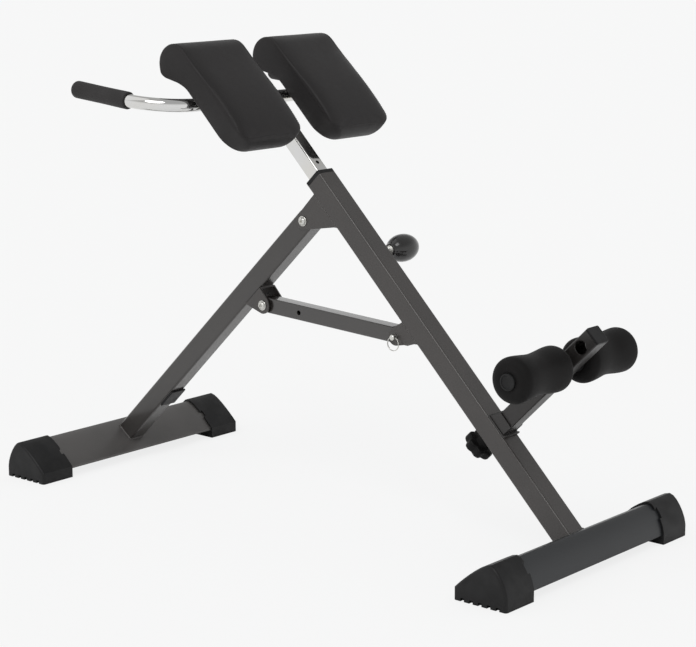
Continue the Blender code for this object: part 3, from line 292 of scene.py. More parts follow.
@dataclass(frozen=True)
class Finish:
    """A surface finish; each kind of finish adds its own detail in dress()."""

    name: str
    colour: Triple
    roughness: float
    slot: str

    def material(self) -> bpy.types.Material:
        """Make the finish's material on first use.

        Returns:
            The material.
        """
        found = bpy.data.materials.get(self.name)
        if found is not None:
            return found
        made = bpy.data.materials.new(self.name)
        made.use_nodes = True
        made.diffuse_color = (*self.colour, 1.0)
        wiring = Wiring(made.node_tree)
        shader = wiring.node("ShaderNodeBsdfPrincipled", {}, {"Base Color": (*self.colour, 1.0),
                                                             "Roughness": self.roughness})
        wiring.node("ShaderNodeOutputMaterial", {}, {"Surface": shader.outputs[0]})
        self.dress(wiring, shader)
        LOG.info("finish %s", self.name)
        return made

    def dress(self, wiring: Wiring, shader: bpy.types.Node) -> None:
        """Add the detail of this finish.

        Args:
            wiring: The material's tree.
            shader: Its Principled shader.
        """

    def shade(self, factor: float, lift: float = 0.0) -> Triple:
        """The finish's colour, made lighter or darker."""
        return tuple(channel * factor + lift for channel in self.colour)

    def around(self, reading: Reading, start: float, end: float) -> Reading:
        """The finish's roughness, shifted from start to end over the middle of a noise."""
        return reading.ramp(0.3, 0.7, self.roughness + start, self.roughness + end)

    def fix(self, shader: bpy.types.Node, values: dict[str, float]) -> None:
        """Set the shader's inputs that are the same all over."""
        for name, value in values.items():
            shader.inputs[name].default_value = value

    def feed(self, wiring: Wiring, shader: bpy.types.Node, **links: Reading | bpy.types.NodeSocket) -> None:
        """Link what changes over the surface.

        Args:
            wiring: The material's tree.
            shader: Its Principled shader.
            links: Readings or sockets by the input's name, with underscores for spaces.
        """
        for name, value in links.items():
            socket = value.socket if isinstance(value, Reading) else value
            wiring.tree.links.new(socket, shader.inputs[name.replace("_", " ").title()])


@dataclass(frozen=True)
class SatinPaint(Finish):
    """Baked satin paint with a fine orange-peel skin and a few scuffs."""

    metallic: float = 0.15
    peel: float = 1.0
    scuff: Triple = (0.16, 0.155, 0.15)
    coat: float = 0.45
    coat_haze: float = 0.24

    def dress(self, wiring: Wiring, shader: bpy.types.Node) -> None:
        """Fine peel, slow colour drift and rare light scuffs.

        Args:
            wiring: The material's tree.
            shader: Its Principled shader.
        """
        self.fix(shader, {"Metallic": self.metallic, "Coat Weight": self.coat,
                          "Coat Roughness": self.coat_haze})
        drift = wiring.noise(7.0, 3.0, 0.55)
        speck = wiring.noise(1500.0, 2.0, 0.6)
        base = wiring.blend(drift.ramp(0.35, 0.65), self.shade(0.90), self.shade(1.10))
        base = wiring.blend(speck.ramp(0.58, 0.80) * 0.30, base, self.shade(1.5))
        streak = wiring.noise(55.0, 4.0, 0.65, (1.0, 0.25, 1.0)).ramp(0.70, 0.78)
        sparse = wiring.noise(9.0, 2.0).ramp(0.60, 0.70)
        worn = streak * sparse * 0.35
        peel = wiring.noise(420.0, 2.0, 0.5) + wiring.noise(1300.0, 1.0, 0.5) * 0.35
        self.feed(wiring, shader, base_color=wiring.blend(worn, base, self.scuff),
                  roughness=self.around(drift, -0.04, 0.05) + worn * 0.2,
                  normal=wiring.bump(peel, 0.00012 * self.peel))


@dataclass(frozen=True)
class Plating(Finish):
    """Plated steel: mirror chrome or dull zinc, by its roughness and haze."""

    haze: float = 0.03
    grain: float = 0.0

    def dress(self, wiring: Wiring, shader: bpy.types.Node) -> None:
        """Full metal with faint wipe marks, and a grain where the plating is dull.

        Args:
            wiring: The material's tree.
            shader: Its Principled shader.
        """
        self.fix(shader, {"Metallic": 1.0})
        wipe = wiring.noise(38.0, 4.0, 0.6, (1.0, 0.4, 1.0))
        tint = wiring.noise(16.0, 2.0)
        red, green, blue = self.colour
        warm = (red, green * 0.985, blue * 0.95)
        self.feed(wiring, shader, base_color=wiring.blend(tint.ramp(0.35, 0.65), self.colour, warm),
                  roughness=wipe.ramp(0.45, 0.75, self.roughness, self.roughness + self.haze))
        if self.grain > 0:
            self.feed(wiring, shader, normal=wiring.bump(wiring.noise(2600.0, 2.0), self.grain))


@dataclass(frozen=True)
class MouldedPlastic(Finish):
    """Injection-moulded black plastic with a spark-eroded grain."""

    grain: float = 0.00005
    grain_scale: float = 2200.0
    coat: float = 0.0
    gloss: float = 0.22

    def dress(self, wiring: Wiring, shader: bpy.types.Node) -> None:
        """Fine grain, and slightly uneven gloss where it is handled.

        Args:
            wiring: The material's tree.
            shader: Its Principled shader.
        """
        self.fix(shader, {"Specular IOR Level": self.gloss, "Coat Weight": self.coat, "Coat Roughness": 0.08})
        rub = wiring.noise(30.0, 3.0, 0.6)
        self.feed(wiring, shader,
                  base_color=wiring.blend(rub.ramp(0.35, 0.75), self.colour, self.shade(1.35, 0.002)),
                  roughness=self.around(rub, 0.04, -0.05),
                  normal=wiring.bump(wiring.noise(self.grain_scale, 2.0, 0.6), self.grain))


@dataclass(frozen=True)
class GrainedVinyl(Finish):
    """Upholstery vinyl: pebbled leather grain, soft sheen and small creases."""

    crease: float = 0.0006

    def dress(self, wiring: Wiring, shader: bpy.types.Node) -> None:
        """Pebbles of about a millimetre, valleys duller than their tops and darkened with painted shade.

        Args:
            wiring: The material's tree.
            shader: Its Principled shader.
        """
        self.fix(shader, {"Specular IOR Level": 0.26, "Sheen Weight": 0.03, "Sheen Roughness": 0.45})
        pebble = wiring.cells(900.0, "SMOOTH_F1")
        fine = wiring.noise(2400.0, 2.0, 0.6)
        drift = wiring.noise(11.0, 3.0, 0.5)
        valley = pebble.ramp(0.30, 0.75)
        base = wiring.blend(drift.ramp(0.35, 0.65), self.colour, self.shade(1.22))
        slow = wiring.bump(wiring.noise(60.0, 3.0, 0.55), self.crease, 0.5)
        # painted shade: the pebble valleys darken the base colour
        self.feed(wiring, shader, base_color=wiring.blend(valley * 0.55, base, self.shade(0.80)),
                  roughness=self.around(drift, -0.05, 0.05) + valley * 0.08,
                  normal=wiring.bump((1.0 - pebble) + fine * 0.25, 0.00016, 0.8, slow))


@dataclass(frozen=True)
class ClosedCellFoam(Finish):
    """Moulded black foam: matte skin with pin-holes."""

    pore_scale: float = 700.0

    def dress(self, wiring: Wiring, shader: bpy.types.Node) -> None:
        """Scattered pores, darkened with painted shade, over a slightly felted skin.

        Args:
            wiring: The material's tree.
            shader: Its Principled shader.
        """
        self.fix(shader, {"Specular IOR Level": 0.10, "Sheen Weight": 0.015, "Sheen Roughness": 0.6})
        thick = wiring.noise(160.0, 2.0).ramp(0.42, 0.60)
        pores = wiring.cells(self.pore_scale).ramp(0.10, 0.30, 1.0, 0.0) * thick
        skin = wiring.noise(1100.0, 3.0, 0.65)
        drift = wiring.noise(14.0, 3.0, 0.5)
        base = wiring.blend(drift.ramp(0.35, 0.65), self.colour, self.shade(1.30, 0.001))
        # painted shade: the pores darken the base colour towards black
        self.feed(wiring, shader, base_color=wiring.blend(pores * 0.7, base, self.shade(0.4)),
                  roughness=self.around(skin, -0.06, 0.04),
                  normal=wiring.bump(skin * 0.6 - pores, 0.00018, 0.8))


@dataclass(frozen=True)
class Finishes:
    """Every finish on the bench, with painted shade and painted light in the darker and lighter copies of the
    frame paint and black plastic.
    """

    frame: SatinPaint = SatinPaint("frame_satin_paint", (0.0335, 0.0295, 0.0275), 0.40, "frame_paint")
    # painted shade: the leg paint is a darker copy of the frame paint, matched to how shaded the leg looks
    leg: SatinPaint = SatinPaint("leg_satin_paint", (0.0210, 0.0183, 0.0166), 0.38, "frame_paint",
                                 peel=0.8, coat=0.70, coat_haze=0.17)
    # painted shade: the arm paint is a much darker copy of the frame paint, matched to how shaded the arm
    # looks
    arm: SatinPaint = SatinPaint("arm_satin_paint", (0.0130, 0.0114, 0.0108), 0.44, "frame_paint", coat=0.25)
    # painted shade: the brace paint is a darker copy of the frame paint, matched to how shaded the brace
    # looks
    brace: SatinPaint = SatinPaint("brace_satin_paint", (0.0200, 0.0172, 0.0160), 0.36, "frame_paint",
                                   peel=0.5, coat=1.0, coat_haze=0.05)
    rear_foot: SatinPaint = SatinPaint("rear_foot_satin_paint", (0.0175, 0.0190, 0.0210), 0.42, "foot_paint",
                                       metallic=0.1, peel=0.8, scuff=(0.11, 0.115, 0.12), coat=0.0)
    # painted light: the front foot paint is a lighter copy of the frame paint, standing in for the extra
    # light on its top
    front_foot: SatinPaint = SatinPaint("front_foot_satin_paint", (0.060, 0.0565, 0.0545), 0.38, "foot_paint")
    chrome: Plating = Plating("polished_chrome", (0.69, 0.69, 0.685), 0.045, "chrome", haze=0.05)
    zinc: Plating = Plating("zinc_plate", (0.62, 0.62, 0.60), 0.26, "zinc", haze=0.12, grain=0.00003)
    plastic: MouldedPlastic = MouldedPlastic("moulded_black_plastic", (0.0080, 0.0080, 0.0083), 0.44,
                                             "black_plastic")
    # painted shade: the star knob is a darker copy of the black plastic, for the shade under the beam
    star: MouldedPlastic = MouldedPlastic("moulded_star_knob", (0.0038, 0.0037, 0.0037), 0.50,
                                          "black_plastic", gloss=0.14)
    gloss: MouldedPlastic = MouldedPlastic("glossy_black_knob", (0.010, 0.0095, 0.0095), 0.20, "gloss_black",
                                           grain=0.00001, grain_scale=900.0, coat=0.3, gloss=0.5)
    vinyl: GrainedVinyl = GrainedVinyl("grained_black_vinyl", (0.0132, 0.0119, 0.0121), 0.48, "vinyl")
    thread: ClosedCellFoam = ClosedCellFoam("black_seam_thread", (0.016, 0.015, 0.0155), 0.62, "vinyl",
                                            pore_scale=2600.0)
    backing: ClosedCellFoam = ClosedCellFoam("black_board_cover", (0.012, 0.012, 0.012), 0.85, "vinyl",
                                             pore_scale=1900.0)
    foam: ClosedCellFoam = ClosedCellFoam("black_roller_foam", (0.0056, 0.0052, 0.0052), 0.62, "foam")
    grip: ClosedCellFoam = ClosedCellFoam("black_grip_foam", (0.030, 0.0285, 0.0285), 0.60, "foam")


FINISHES = Finishes()


# Mesh drafting


def arc(centre: Pair, radius: float, start: float, end: float, steps: int) -> list[Pair]:
    """Points on an arc, both ends included.

    Args:
        centre: The arc's centre.
        radius: Its radius.
        start: First angle in radians.
        end: Last angle in radians.
        steps: Number of chords.

    Returns:
        The points in order.
    """
    turns = [start + (end - start) * i / steps for i in range(steps + 1)]
    return [(centre[0] + radius * cos(a), centre[1] + radius * sin(a)) for a in turns]


def round_angles(steps: int) -> list[float]:
    """Even angles round a full circle."""
    return [2 * pi * i / steps for i in range(steps)]


def hexagon(radius: float, height: float, turn: float = 0.0) -> list[Triple]:
    """Corners of a level hexagon."""
    return [(radius * cos(a + turn), radius * sin(a + turn), height) for a in round_angles(6)]


def eased(share: float) -> float:
    """A share of 0 to 1 with a soft start and end."""
    return share * share * (3 - 2 * share)


def spaced(route: Sequence[Vector], pitch: float, count_of: Callable[[float], int]) -> list[Vector]:
    """Points at a nearly even pitch along a route, without its last point.

    Args:
        route: Points of the route.
        pitch: Wanted distance between points.
        count_of: Turns a leg's length over the pitch into a whole number.

    Returns:
        The points in order.
    """
    fine = []
    for first, second in zip(route, route[1:]):
        count = max(1, count_of((second - first).length / pitch))
        fine += [first.lerp(second, k / count) for k in range(count)]
    return fine


def apply_modifiers(piece: bpy.types.Object) -> bpy.types.Mesh:
    """Put a piece's modifiers into its mesh.

    Args:
        piece: The piece, whose modifiers go.

    Returns:
        Its new mesh.
    """
    bpy.context.view_layer.update()
    graph = bpy.context.evaluated_depsgraph_get()
    data = bpy.data.meshes.new_from_object(piece.evaluated_get(graph), depsgraph=graph)
    data.name = piece.name
    piece.modifiers.clear()
    piece.data = data
    return data


def surface_of(data: bpy.types.Mesh) -> BVHTree:
    """A mesh's surface, ready to be searched."""
    places = [v.co.copy() for v in data.vertices]
    return BVHTree.FromPolygons(places, [tuple(p.vertices) for p in data.polygons])


class Draft:
    """A mesh in the making, placed by a frame."""

    def __init__(self, name: str, frame: Matrix | None = None) -> None:
        """Start an empty mesh.

        Args:
            name: Name of the finished piece.
            frame: Frame that points are given in; the row's own if left out.
        """
        self.name = name
        self.frame = frame or Matrix.Identity(4)
        self.mesh = bmesh.new()

    def point(self, place: Sequence[float]) -> Vert:
        """Add one vertex, given in the draft's frame."""
        return self.mesh.verts.new(self.frame @ Vector(place))

    def ring(self, places: Iterable[Sequence[float]]) -> list[Vert]:
        """Add one vertex for each place."""
        return [self.point(place) for place in places]

    def skin(self, rows: Sequence[list[Vert]], closed: bool = True) -> None:
        """Join each row to the next with quads, or triangles where they share a vertex.

        Args:
            rows: Rows of equal count.
            closed: Whether a row's last vertex joins its first.
        """
        count = len(rows[0])
        for first, second in zip(rows, rows[1:]):
            for i in range(count if closed else count - 1):
                j = (i + 1) % count
                corners = list(dict.fromkeys((first[i], first[j], second[j], second[i])))
                if len(corners) > 2 and self.mesh.faces.get(corners) is None:
                    self.mesh.faces.new(corners)

    def loft(self, rings: Sequence[Iterable[Sequence[float]]], capped: bool = True,
             looped: bool = False) -> Draft:
        """Skin a row of closed rings.

        Args:
            rings: Places of each ring, of equal count.
            capped: Whether a face closes each end.
            looped: Whether the last ring joins the first.

        Returns:
            The draft itself.
        """
        made = [self.ring(ring) for ring in rings]
        self.skin(made + made[:1] if looped else made)
        if capped:
            self.mesh.faces.new(list(reversed(made[0])))
            self.mesh.faces.new(made[-1])
        return self

    def lathe(self, profile: Sequence[Pair], steps: int = 64) -> Draft:
        """Turn a profile of radius and height about the frame's Z axis.

        Args:
            profile: Radius and height of each point; a radius of 0 closes the end.
            steps: Facets round the axis.

        Returns:
            The draft itself.
        """
        rings = []
        for radius, height in profile:
            if radius == 0:
                rings.append([self.point((0, 0, height))] * steps)
            else:
                rings.append(self.ring((radius * cos(a), radius * sin(a), height)
                                       for a in round_angles(steps)))
        self.skin(rings)
        return self

    def tube(self, route: Sequence[Vector], radius: float, steps: int = 24, closed: bool = False) -> Draft:
        """Sweep a circle along a route.

        Args:
            route: Points of the tube's middle line, in the draft's frame.
            radius: The tube's radius.
            steps: Facets round it.
            closed: Whether the route is a loop.

        Returns:
            The draft itself.
        """
        rings = []
        side = (route[1] - route[-1 if closed else 0]).orthogonal()
        for i, place in enumerate(route):
            before = route[i - 1] if closed or i else place
            after = route[(i + 1) % len(route)] if closed or i < len(route) - 1 else place
            ahead = (after - before).normalized()
            side = (side - ahead * side.dot(ahead)).normalized()
            up = ahead.cross(side)
            rings.append([place + side * (radius * cos(a)) + up * (radius * sin(a))
                          for a in round_angles(steps)])
        return self.loft(rings, capped=not closed, looped=closed)

    def cast(self) -> bpy.types.Mesh:
        """Turn the draft into a mesh.

        Returns:
            The mesh, named like the draft.
        """
        data = bpy.data.meshes.new(self.name)
        self.mesh.to_mesh(data)
        self.mesh.free()
        return data

    def finish(self, finish: Finish, body: str, sharp: float = 40.0) -> bpy.types.Object:
        """Weld the draft, turn its faces outwards and make it a piece on a body.

        Args:
            finish: The piece's finish.
            body: The CAD body that it rides on.
            sharp: Angle in degrees above which an edge stays sharp.

        Returns:
            The new piece.
        """
        bmesh.ops.remove_doubles(self.mesh, verts=self.mesh.verts[:], dist=1e-7)
        bmesh.ops.recalc_face_normals(self.mesh, faces=self.mesh.faces[:])
        return self.stand(self.cast(), finish, body, sharp)

    def stand(self, data: bpy.types.Mesh, finish: Finish, body: str, sharp: float) -> bpy.types.Object:
        """Link a mesh as a smooth-shaded piece.

        Args:
            data: The mesh.
            finish: The piece's finish.
            body: The CAD body that it rides on.
            sharp: Angle in degrees above which an edge stays sharp.

        Returns:
            The new piece.
        """
        data.shade_smooth()
        data.set_sharp_from_angle(angle=radians(sharp))
        piece = bpy.data.objects.new(self.name, data)
        bpy.context.scene.collection.objects.link(piece)
        data.materials.append(finish.material())
        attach(piece, body)
        LOG.info("piece %s on %s, %d faces", self.name, body, len(data.polygons))
        return piece


# Sub-assemblies


@dataclass
class RefinedSteel:
    """CAD nodes shown through welded, smooth-shaded copies with eased edges."""

    nodes: dict[str, bpy.types.Object]
    bodies: dict[str, list[str]]
    weld: float = 2e-6
    flat: float = radians(0.4)
    sharp: float = 34.0
    easing_steps: int = 2

    def show(self, node: str, finish: Finish, edge: float = 0.0005) -> None:
        """Make one node's refined copy.

        Args:
            node: The CAD node.
            finish: Its finish.
            edge: Width of the easing on its sharp outer edges.
        """
        draft = Draft(node + "_eased")
        mesh = draft.mesh
        mesh.from_mesh(self.nodes[node].data)
        bmesh.ops.remove_doubles(mesh, verts=mesh.verts[:], dist=self.weld)
        bmesh.ops.dissolve_limit(mesh, angle_limit=self.flat, verts=mesh.verts[:], edges=mesh.edges[:])
        corners = [e for e in mesh.edges if len(e.link_faces) == 2
                   and e.calc_face_angle_signed(0.0) > radians(self.sharp)]
        bmesh.ops.bevel(mesh, geom=corners, offset=edge, offset_type="OFFSET", segments=self.easing_steps,
                        profile=0.5, affect="EDGES", clamp_overlap=True)
        body = next(body for body, members in self.bodies.items() if node in members)
        piece = draft.stand(draft.cast(), finish, body, self.sharp)
        self.even(piece)
        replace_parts(piece, node)

    def even(self, piece: bpy.types.Object) -> None:
        """Give flat faces flat normals, so that only the eased edges turn the light.

        Args:
            piece: The refined copy.
        """
        modifier = piece.modifiers.new("even", "WEIGHTED_NORMAL")
        modifier.mode = "FACE_AREA"
        modifier.weight = 100
        modifier.keep_sharp = True
        apply_modifiers(piece)


@dataclass
class HipPad:
    """One hip pad: crowned top panel, boxing and under-board, sewn together and swelled by its filling."""

    hand: Hand
    layout: Layout
    inner: float = 0.042
    width: float = 0.1685
    start: float = 0.8945
    length: float = 0.2596
    underside: float = 0.0198
    seam_above: float = 0.0650
    seam_back: float = 0.007
    seam_droop: Pair = (0.0042, 0.085)
    board_back: float = 0.010
    board_fill: float = 0.96
    crown: float = 0.0082
    crown_run: float = 0.046
    roll_crown: float = 0.0013
    shoulder: float = 8.0
    corner: float = 0.020
    corner_rows: int = 8
    flat_rows: int = 13
    flat_run: float = 0.08
    board_corner: float = 0.041
    roll: float = 0.0384
    roll_above: float = 0.0261
    roll_turn: float = radians(165.0)
    roll_steps: int = 16
    side_bulge: float = 0.0012
    board_spread: float = 0.0006
    nose_bulge: float = 0.0070
    nose_narrowing: int = 8
    columns: int = 26
    wall_rows: tuple[float, ...] = (0.0, 0.05, 0.18, 0.36, 0.55, 0.74, 0.90, 1.0)
    neck: tuple[Pair, ...] = ((1.66, 0.0), (1.45, 0.01), (1.22, 0.08), (0.84, 0.27), (0.36, 0.63),
                              (0.08, 0.84))
    swell_cap: float = 0.0026
    groove: Pair = (0.0007, 0.0016)
    pucker: Pair = (0.00035, 0.009)
    seam_reach: float = 0.03
    seam_pitch: float = 0.001
    stitch_pitch: float = 0.0042
    stitch_inset: float = 0.0036
    stitch_radius: float = 0.00036
    piece: bpy.types.Object = field(init=False)
    rest: list[Vector] = field(init=False)
    seam_line: list[Vector] = field(init=False)
    seam_inside: list[Vector] = field(init=False)

    @property
    def middle(self) -> float:
        """The pad's middle, measured to the left."""
        return self.hand.value * (self.inner + self.width / 2)

    @property
    def roll_start(self) -> float:
        """How far up the beam the roll's axis is."""
        return self.start + self.length - self.roll

    def seam_path(self) -> list[tuple[float, float, float, float]]:
        """Lay out the rows of the top panel.

        Returns:
            For each row its place along and above, the angle of its outward normal and its crown.
        """
        first = self.start + self.seam_back
        turn = self.roll_start
        radius = self.roll - self.roll_crown
        places = [first + self.corner * (1 - cos(pi / 2 * i / self.corner_rows))
                  for i in range(self.corner_rows + 1)]
        places += [places[-1] + (turn - places[-1]) * i / self.flat_rows for i in range(1, self.flat_rows)]
        rows = []
        for along in places:
            lift = eased(max(0.0, (along - first - self.flat_run) / (turn - first - self.flat_run)))
            droop = self.seam_droop[0] * max(0.0, 1 - (along - first) / self.seam_droop[1]) ** 2
            above = self.seam_above - droop + (self.roll_above + radius - self.seam_above) * lift
            rise = min(1.0, (along - first) / self.crown_run)
            crown = self.crown * sqrt(1 - (1 - rise) ** 2) * (1 - lift) + self.roll_crown * lift
            rows.append((along, above, pi / 2, crown))
        for i in range(self.roll_steps + 1):
            turned = pi / 2 - self.roll_turn * i / self.roll_steps
            rows.append((turn + radius * cos(turned), self.roll_above + radius * sin(turned), turned,
                         self.roll_crown))
        return rows

    def board_path(self, rows: list[tuple[float, float, float, float]]) -> list[Pair]:
        """Place the underside below the seam: flat board, then the neck under the roll.

        Args:
            rows: The rows of the top panel.

        Returns:
            The underside's place along and above for each row.
        """
        first, last = self.start + self.board_back, rows[-1]
        hang = self.underside - self.roll_above + self.roll
        neck = [(self.roll_start - self.roll * back, self.underside - hang * drop)
                for back, drop in self.neck]
        neck.append((last[0], last[1]))
        along = [row[0] for row in rows[:-self.roll_steps - 1]]
        reach = (neck[0][0] - first) / (along[-1] - along[0]) * self.board_fill
        path = [(first + (a - along[0]) * reach, self.underside) for a in along]
        for i in range(self.roll_steps + 1):
            place = i / self.roll_steps * (len(neck) - 1)
            k = min(int(place), len(neck) - 2)
            spot = Vector(neck[k]).lerp(Vector(neck[k + 1]), place - k)
            path.append((spot.x, spot.y))
        return path

    def half_width(self, back: float, corner: float) -> Pair:
        """Width of a panel with rounded lower corners.

        Args:
            back: Distance from the panel's lower end.
            corner: Radius of its corners.

        Returns:
            Half the width there, and how far the edge has turned into the corner.
        """
        half = self.width / 2 - self.side_bulge
        rise = min(1.0, max(0.0, (corner - back) / corner))
        return half - corner + corner * sqrt(1 - rise * rise), asin(rise)

    def build(self) -> None:
        """Make the pad's sewn shell, with its held seams in a vertex group."""
        draft = Draft("hip_pad_" + self.hand.word, self.layout.beam)
        rows = self.seam_path()
        board = self.board_path(rows)
        shares = [sin(pi / 2 * (2 * j / self.columns - 1)) for j in range(self.columns + 1)]
        top, low, turns = [], [], []
        for (along, above, lean, crown), (under_along, under_above) in zip(rows, board):
            half, turn = self.half_width(along - rows[0][0], self.corner)
            turns.append(turn)
            lifts = [crown * sqrt(1 - abs(share) ** self.shoulder) for share in shares]
            top.append(draft.ring((-(along + lift * cos(lean)), self.middle + share * half,
                                   above + lift * sin(lean)) for share, lift in zip(shares, lifts)))
            under = self.half_width(under_along - board[0][0], self.board_corner)[0] + self.board_spread
            if len(top) < len(rows):
                low.append(draft.ring((-under_along, self.middle + share * under, under_above)
                                      for share in shares))
            else:
                low.append(top[-1])
        draft.skin(top, False)
        draft.skin(low, False)
        rim = [(i, 0) for i in range(len(rows) - 1, 0, -1)] + [(0, j) for j in range(self.columns + 1)]
        rim += [(i, self.columns) for i in range(1, len(rows))]
        draft.skin([self._wall(draft, top[i][j], low[i][j], self._outward(j, turns[i])) for i, j in rim],
                   False)
        self._board_faces(low)
        self.seam_line = [top[i][j].co.copy() for i, j in rim]
        self.seam_inside = [self._inside(top, i, j) for i, j in rim]
        self._stand(draft, {v for line in low for v in line} | {top[i][j] for i, j in rim})

    def _outward(self, column: int, turn: float) -> Vector:
        """Find the direction away from the pad at a vertex of the rim.

        Args:
            column: The vertex's column.
            turn: How far the edge has turned into the corner.

        Returns:
            The direction in the beam's frame, level with the board.
        """
        if 0 < column < self.columns:
            return Vector((1, 0, 0))
        return Vector((sin(turn), cos(turn) if column else -cos(turn), 0))

    def _inside(self, top: list[list[Vert]], i: int, j: int) -> Vector:
        """Find the direction over the top panel, away from the seam.

        Args:
            top: The top panel's rows.
            i: The rim vertex's row.
            j: Its column.

        Returns:
            The direction in the row's frame.
        """
        if 0 < j < self.columns:
            target = top[2][j]
        elif i < 2:
            target = top[i + 3][3 if j == 0 else -4]
        else:
            target = top[i][2 if j == 0 else -3]
        return (target.co - top[i][j].co).normalized()

    def _wall(self, draft: Draft, upper: Vert, lower: Vert, away: Vector) -> list[Vert]:
        """Make one column of the boxing between the seam and the board.

        Args:
            draft: The pad's draft.
            upper: The seam's vertex.
            lower: The board's vertex.
            away: Direction away from the pad, in the beam's frame.

        Returns:
            The column's vertices from the seam down.
        """
        if upper is lower:
            return [upper] * len(self.wall_rows)
        bulge = self.side_bulge + (self.nose_bulge - self.side_bulge) * away.x ** self.nose_narrowing
        turned = self.layout.beam.to_3x3() @ away
        places = [upper.co.lerp(lower.co, share) + turned * (bulge * sin(pi * share) ** 0.75)
                  for share in self.wall_rows[1:-1]]
        return [upper, *(draft.mesh.verts.new(place) for place in places), lower]

    def _board_faces(self, low: list[list[Vert]]) -> None:
        """Mark the inner part of the underside as the board's cover.

        Args:
            low: The underside's rows.
        """
        inner = {v for line in low[3:-self.roll_steps - 2] for v in line[4:-4]}
        for face in {face for vert in inner for face in vert.link_faces}:
            if inner.issuperset(face.verts):
                face.material_index = 1

    def _stand(self, draft: Draft, held: set[Vert]) -> None:
        """Turn the draft into the pad's piece.

        Args:
            draft: The pad's draft.
            held: The vertices that the sewing holds.
        """
        bmesh.ops.recalc_face_normals(draft.mesh, faces=draft.mesh.faces[:])
        draft.mesh.verts.index_update()
        numbers = [v.index for v in held]
        data = draft.cast()
        self.piece = draft.stand(data, FINISHES.vinyl, "post_body", 180.0)
        data.materials.append(FINISHES.backing.material())
        self.piece.vertex_groups.new(name="held").add(numbers, 1.0, "REPLACE")
        self.rest = [v.co.copy() for v in data.vertices]

    def inflate(self, frames: int) -> None:
        """Put the filling's pressure on the shell as cloth.

        Args:
            frames: Frames that the cloth runs for.
        """
        cloth = self.piece.modifiers.new("swell", "CLOTH")
        settings = {"quality": 6, "mass": 0.3, "tension_stiffness": 18, "compression_stiffness": 18,
                    "bending_stiffness": 1.5, "use_pressure": True, "uniform_pressure_force": 4.0,
                    "vertex_group_mass": "held"}
        for name, value in settings.items():
            setattr(cloth.settings, name, value)
        cloth.settings.effector_weights.gravity = 0.0
        cloth.collision_settings.use_collision = False
        cloth.point_cache.frame_start = 1
        cloth.point_cache.frame_end = frames

    def settle(self) -> None:
        """Keep the swelled shape within its cap, round it off and press in the seams."""
        if self.piece.modifiers.get("swell"):
            graph = bpy.context.evaluated_depsgraph_get()
            moved = [v.co.copy() for v in self.piece.evaluated_get(graph).data.vertices]
            self.piece.modifiers.clear()
            for vert, rest, place in zip(self.piece.data.vertices, self.rest, moved):
                step = place - rest
                size = self.swell_cap * (1 - exp(-step.length / self.swell_cap))
                vert.co = rest + step.normalized() * size
        smooth = self.piece.modifiers.new("round", "SUBSURF")
        smooth.levels = smooth.render_levels = 1
        data = apply_modifiers(self.piece)
        data.shade_smooth()
        self._press_seam(data)
        LOG.info("pad %s settled, %d faces", self.hand.word, len(data.polygons))

    def _press_seam(self, data: bpy.types.Mesh) -> None:
        """Sink the seam line and pucker the vinyl beside it.

        Args:
            data: The pad's mesh.
        """
        line = spaced(self.seam_line, self.seam_pitch, int)
        tree = KDTree(len(line))
        for i, place in enumerate(line):
            tree.insert(place, i)
        tree.balance()
        for vert in data.vertices:
            gap = tree.find(vert.co)[2]
            if gap > self.seam_reach:
                continue
            pucker = noise.noise(vert.co * 95.0) * self.pucker[0] * exp(-gap / self.pucker[1])
            vert.co += vert.normal * (pucker - self.groove[0] * exp(-(gap / self.groove[1]) ** 2))

    def stitch(self) -> None:
        """Sew the top panel's edge with short stitches of thread."""
        tree = surface_of(self.piece.data)
        draft = Draft("pad_stitches_" + self.hand.word)
        run, due = 0.0, 0.0
        route = list(zip(self.seam_line, self.seam_inside))
        for (first, lean), (second, lean_next) in zip(route, route[1:]):
            span = (second - first).length
            while span > 1e-6 and due <= run + span:
                share = (due - run) / span
                inwards = lean.lerp(lean_next, share).normalized() * self.stitch_inset
                spot, normal, _, _ = tree.find_nearest(first.lerp(second, share) + inwards)
                self._one_stitch(draft, spot + normal * 0.0002, (second - first).normalized(), normal)
                due += self.stitch_pitch
            run += span
        draft.finish(FINISHES.thread, "post_body", 60)

    def _one_stitch(self, draft: Draft, spot: Vector, ahead: Vector, normal: Vector) -> None:
        """Add one stitch: a small capsule that dips into the vinyl at both ends.

        Args:
            draft: The draft of all stitches.
            spot: The stitch's middle.
            ahead: Direction of the seam.
            normal: Direction away from the vinyl.
        """
        side = ahead.cross(normal).normalized()
        rings = []
        for reach, size, sink in ((-0.0014, 0.35, 0.0005), (-0.0008, 0.9, 0.0), (0.0008, 0.9, 0.0),
                                  (0.0014, 0.35, 0.0005)):
            middle = spot + ahead * reach - normal * sink
            radius = self.stitch_radius * size
            rings.append([middle + side * (radius * cos(a)) + normal * (radius * sin(a))
                          for a in round_angles(6)])
        draft.loft(rings)


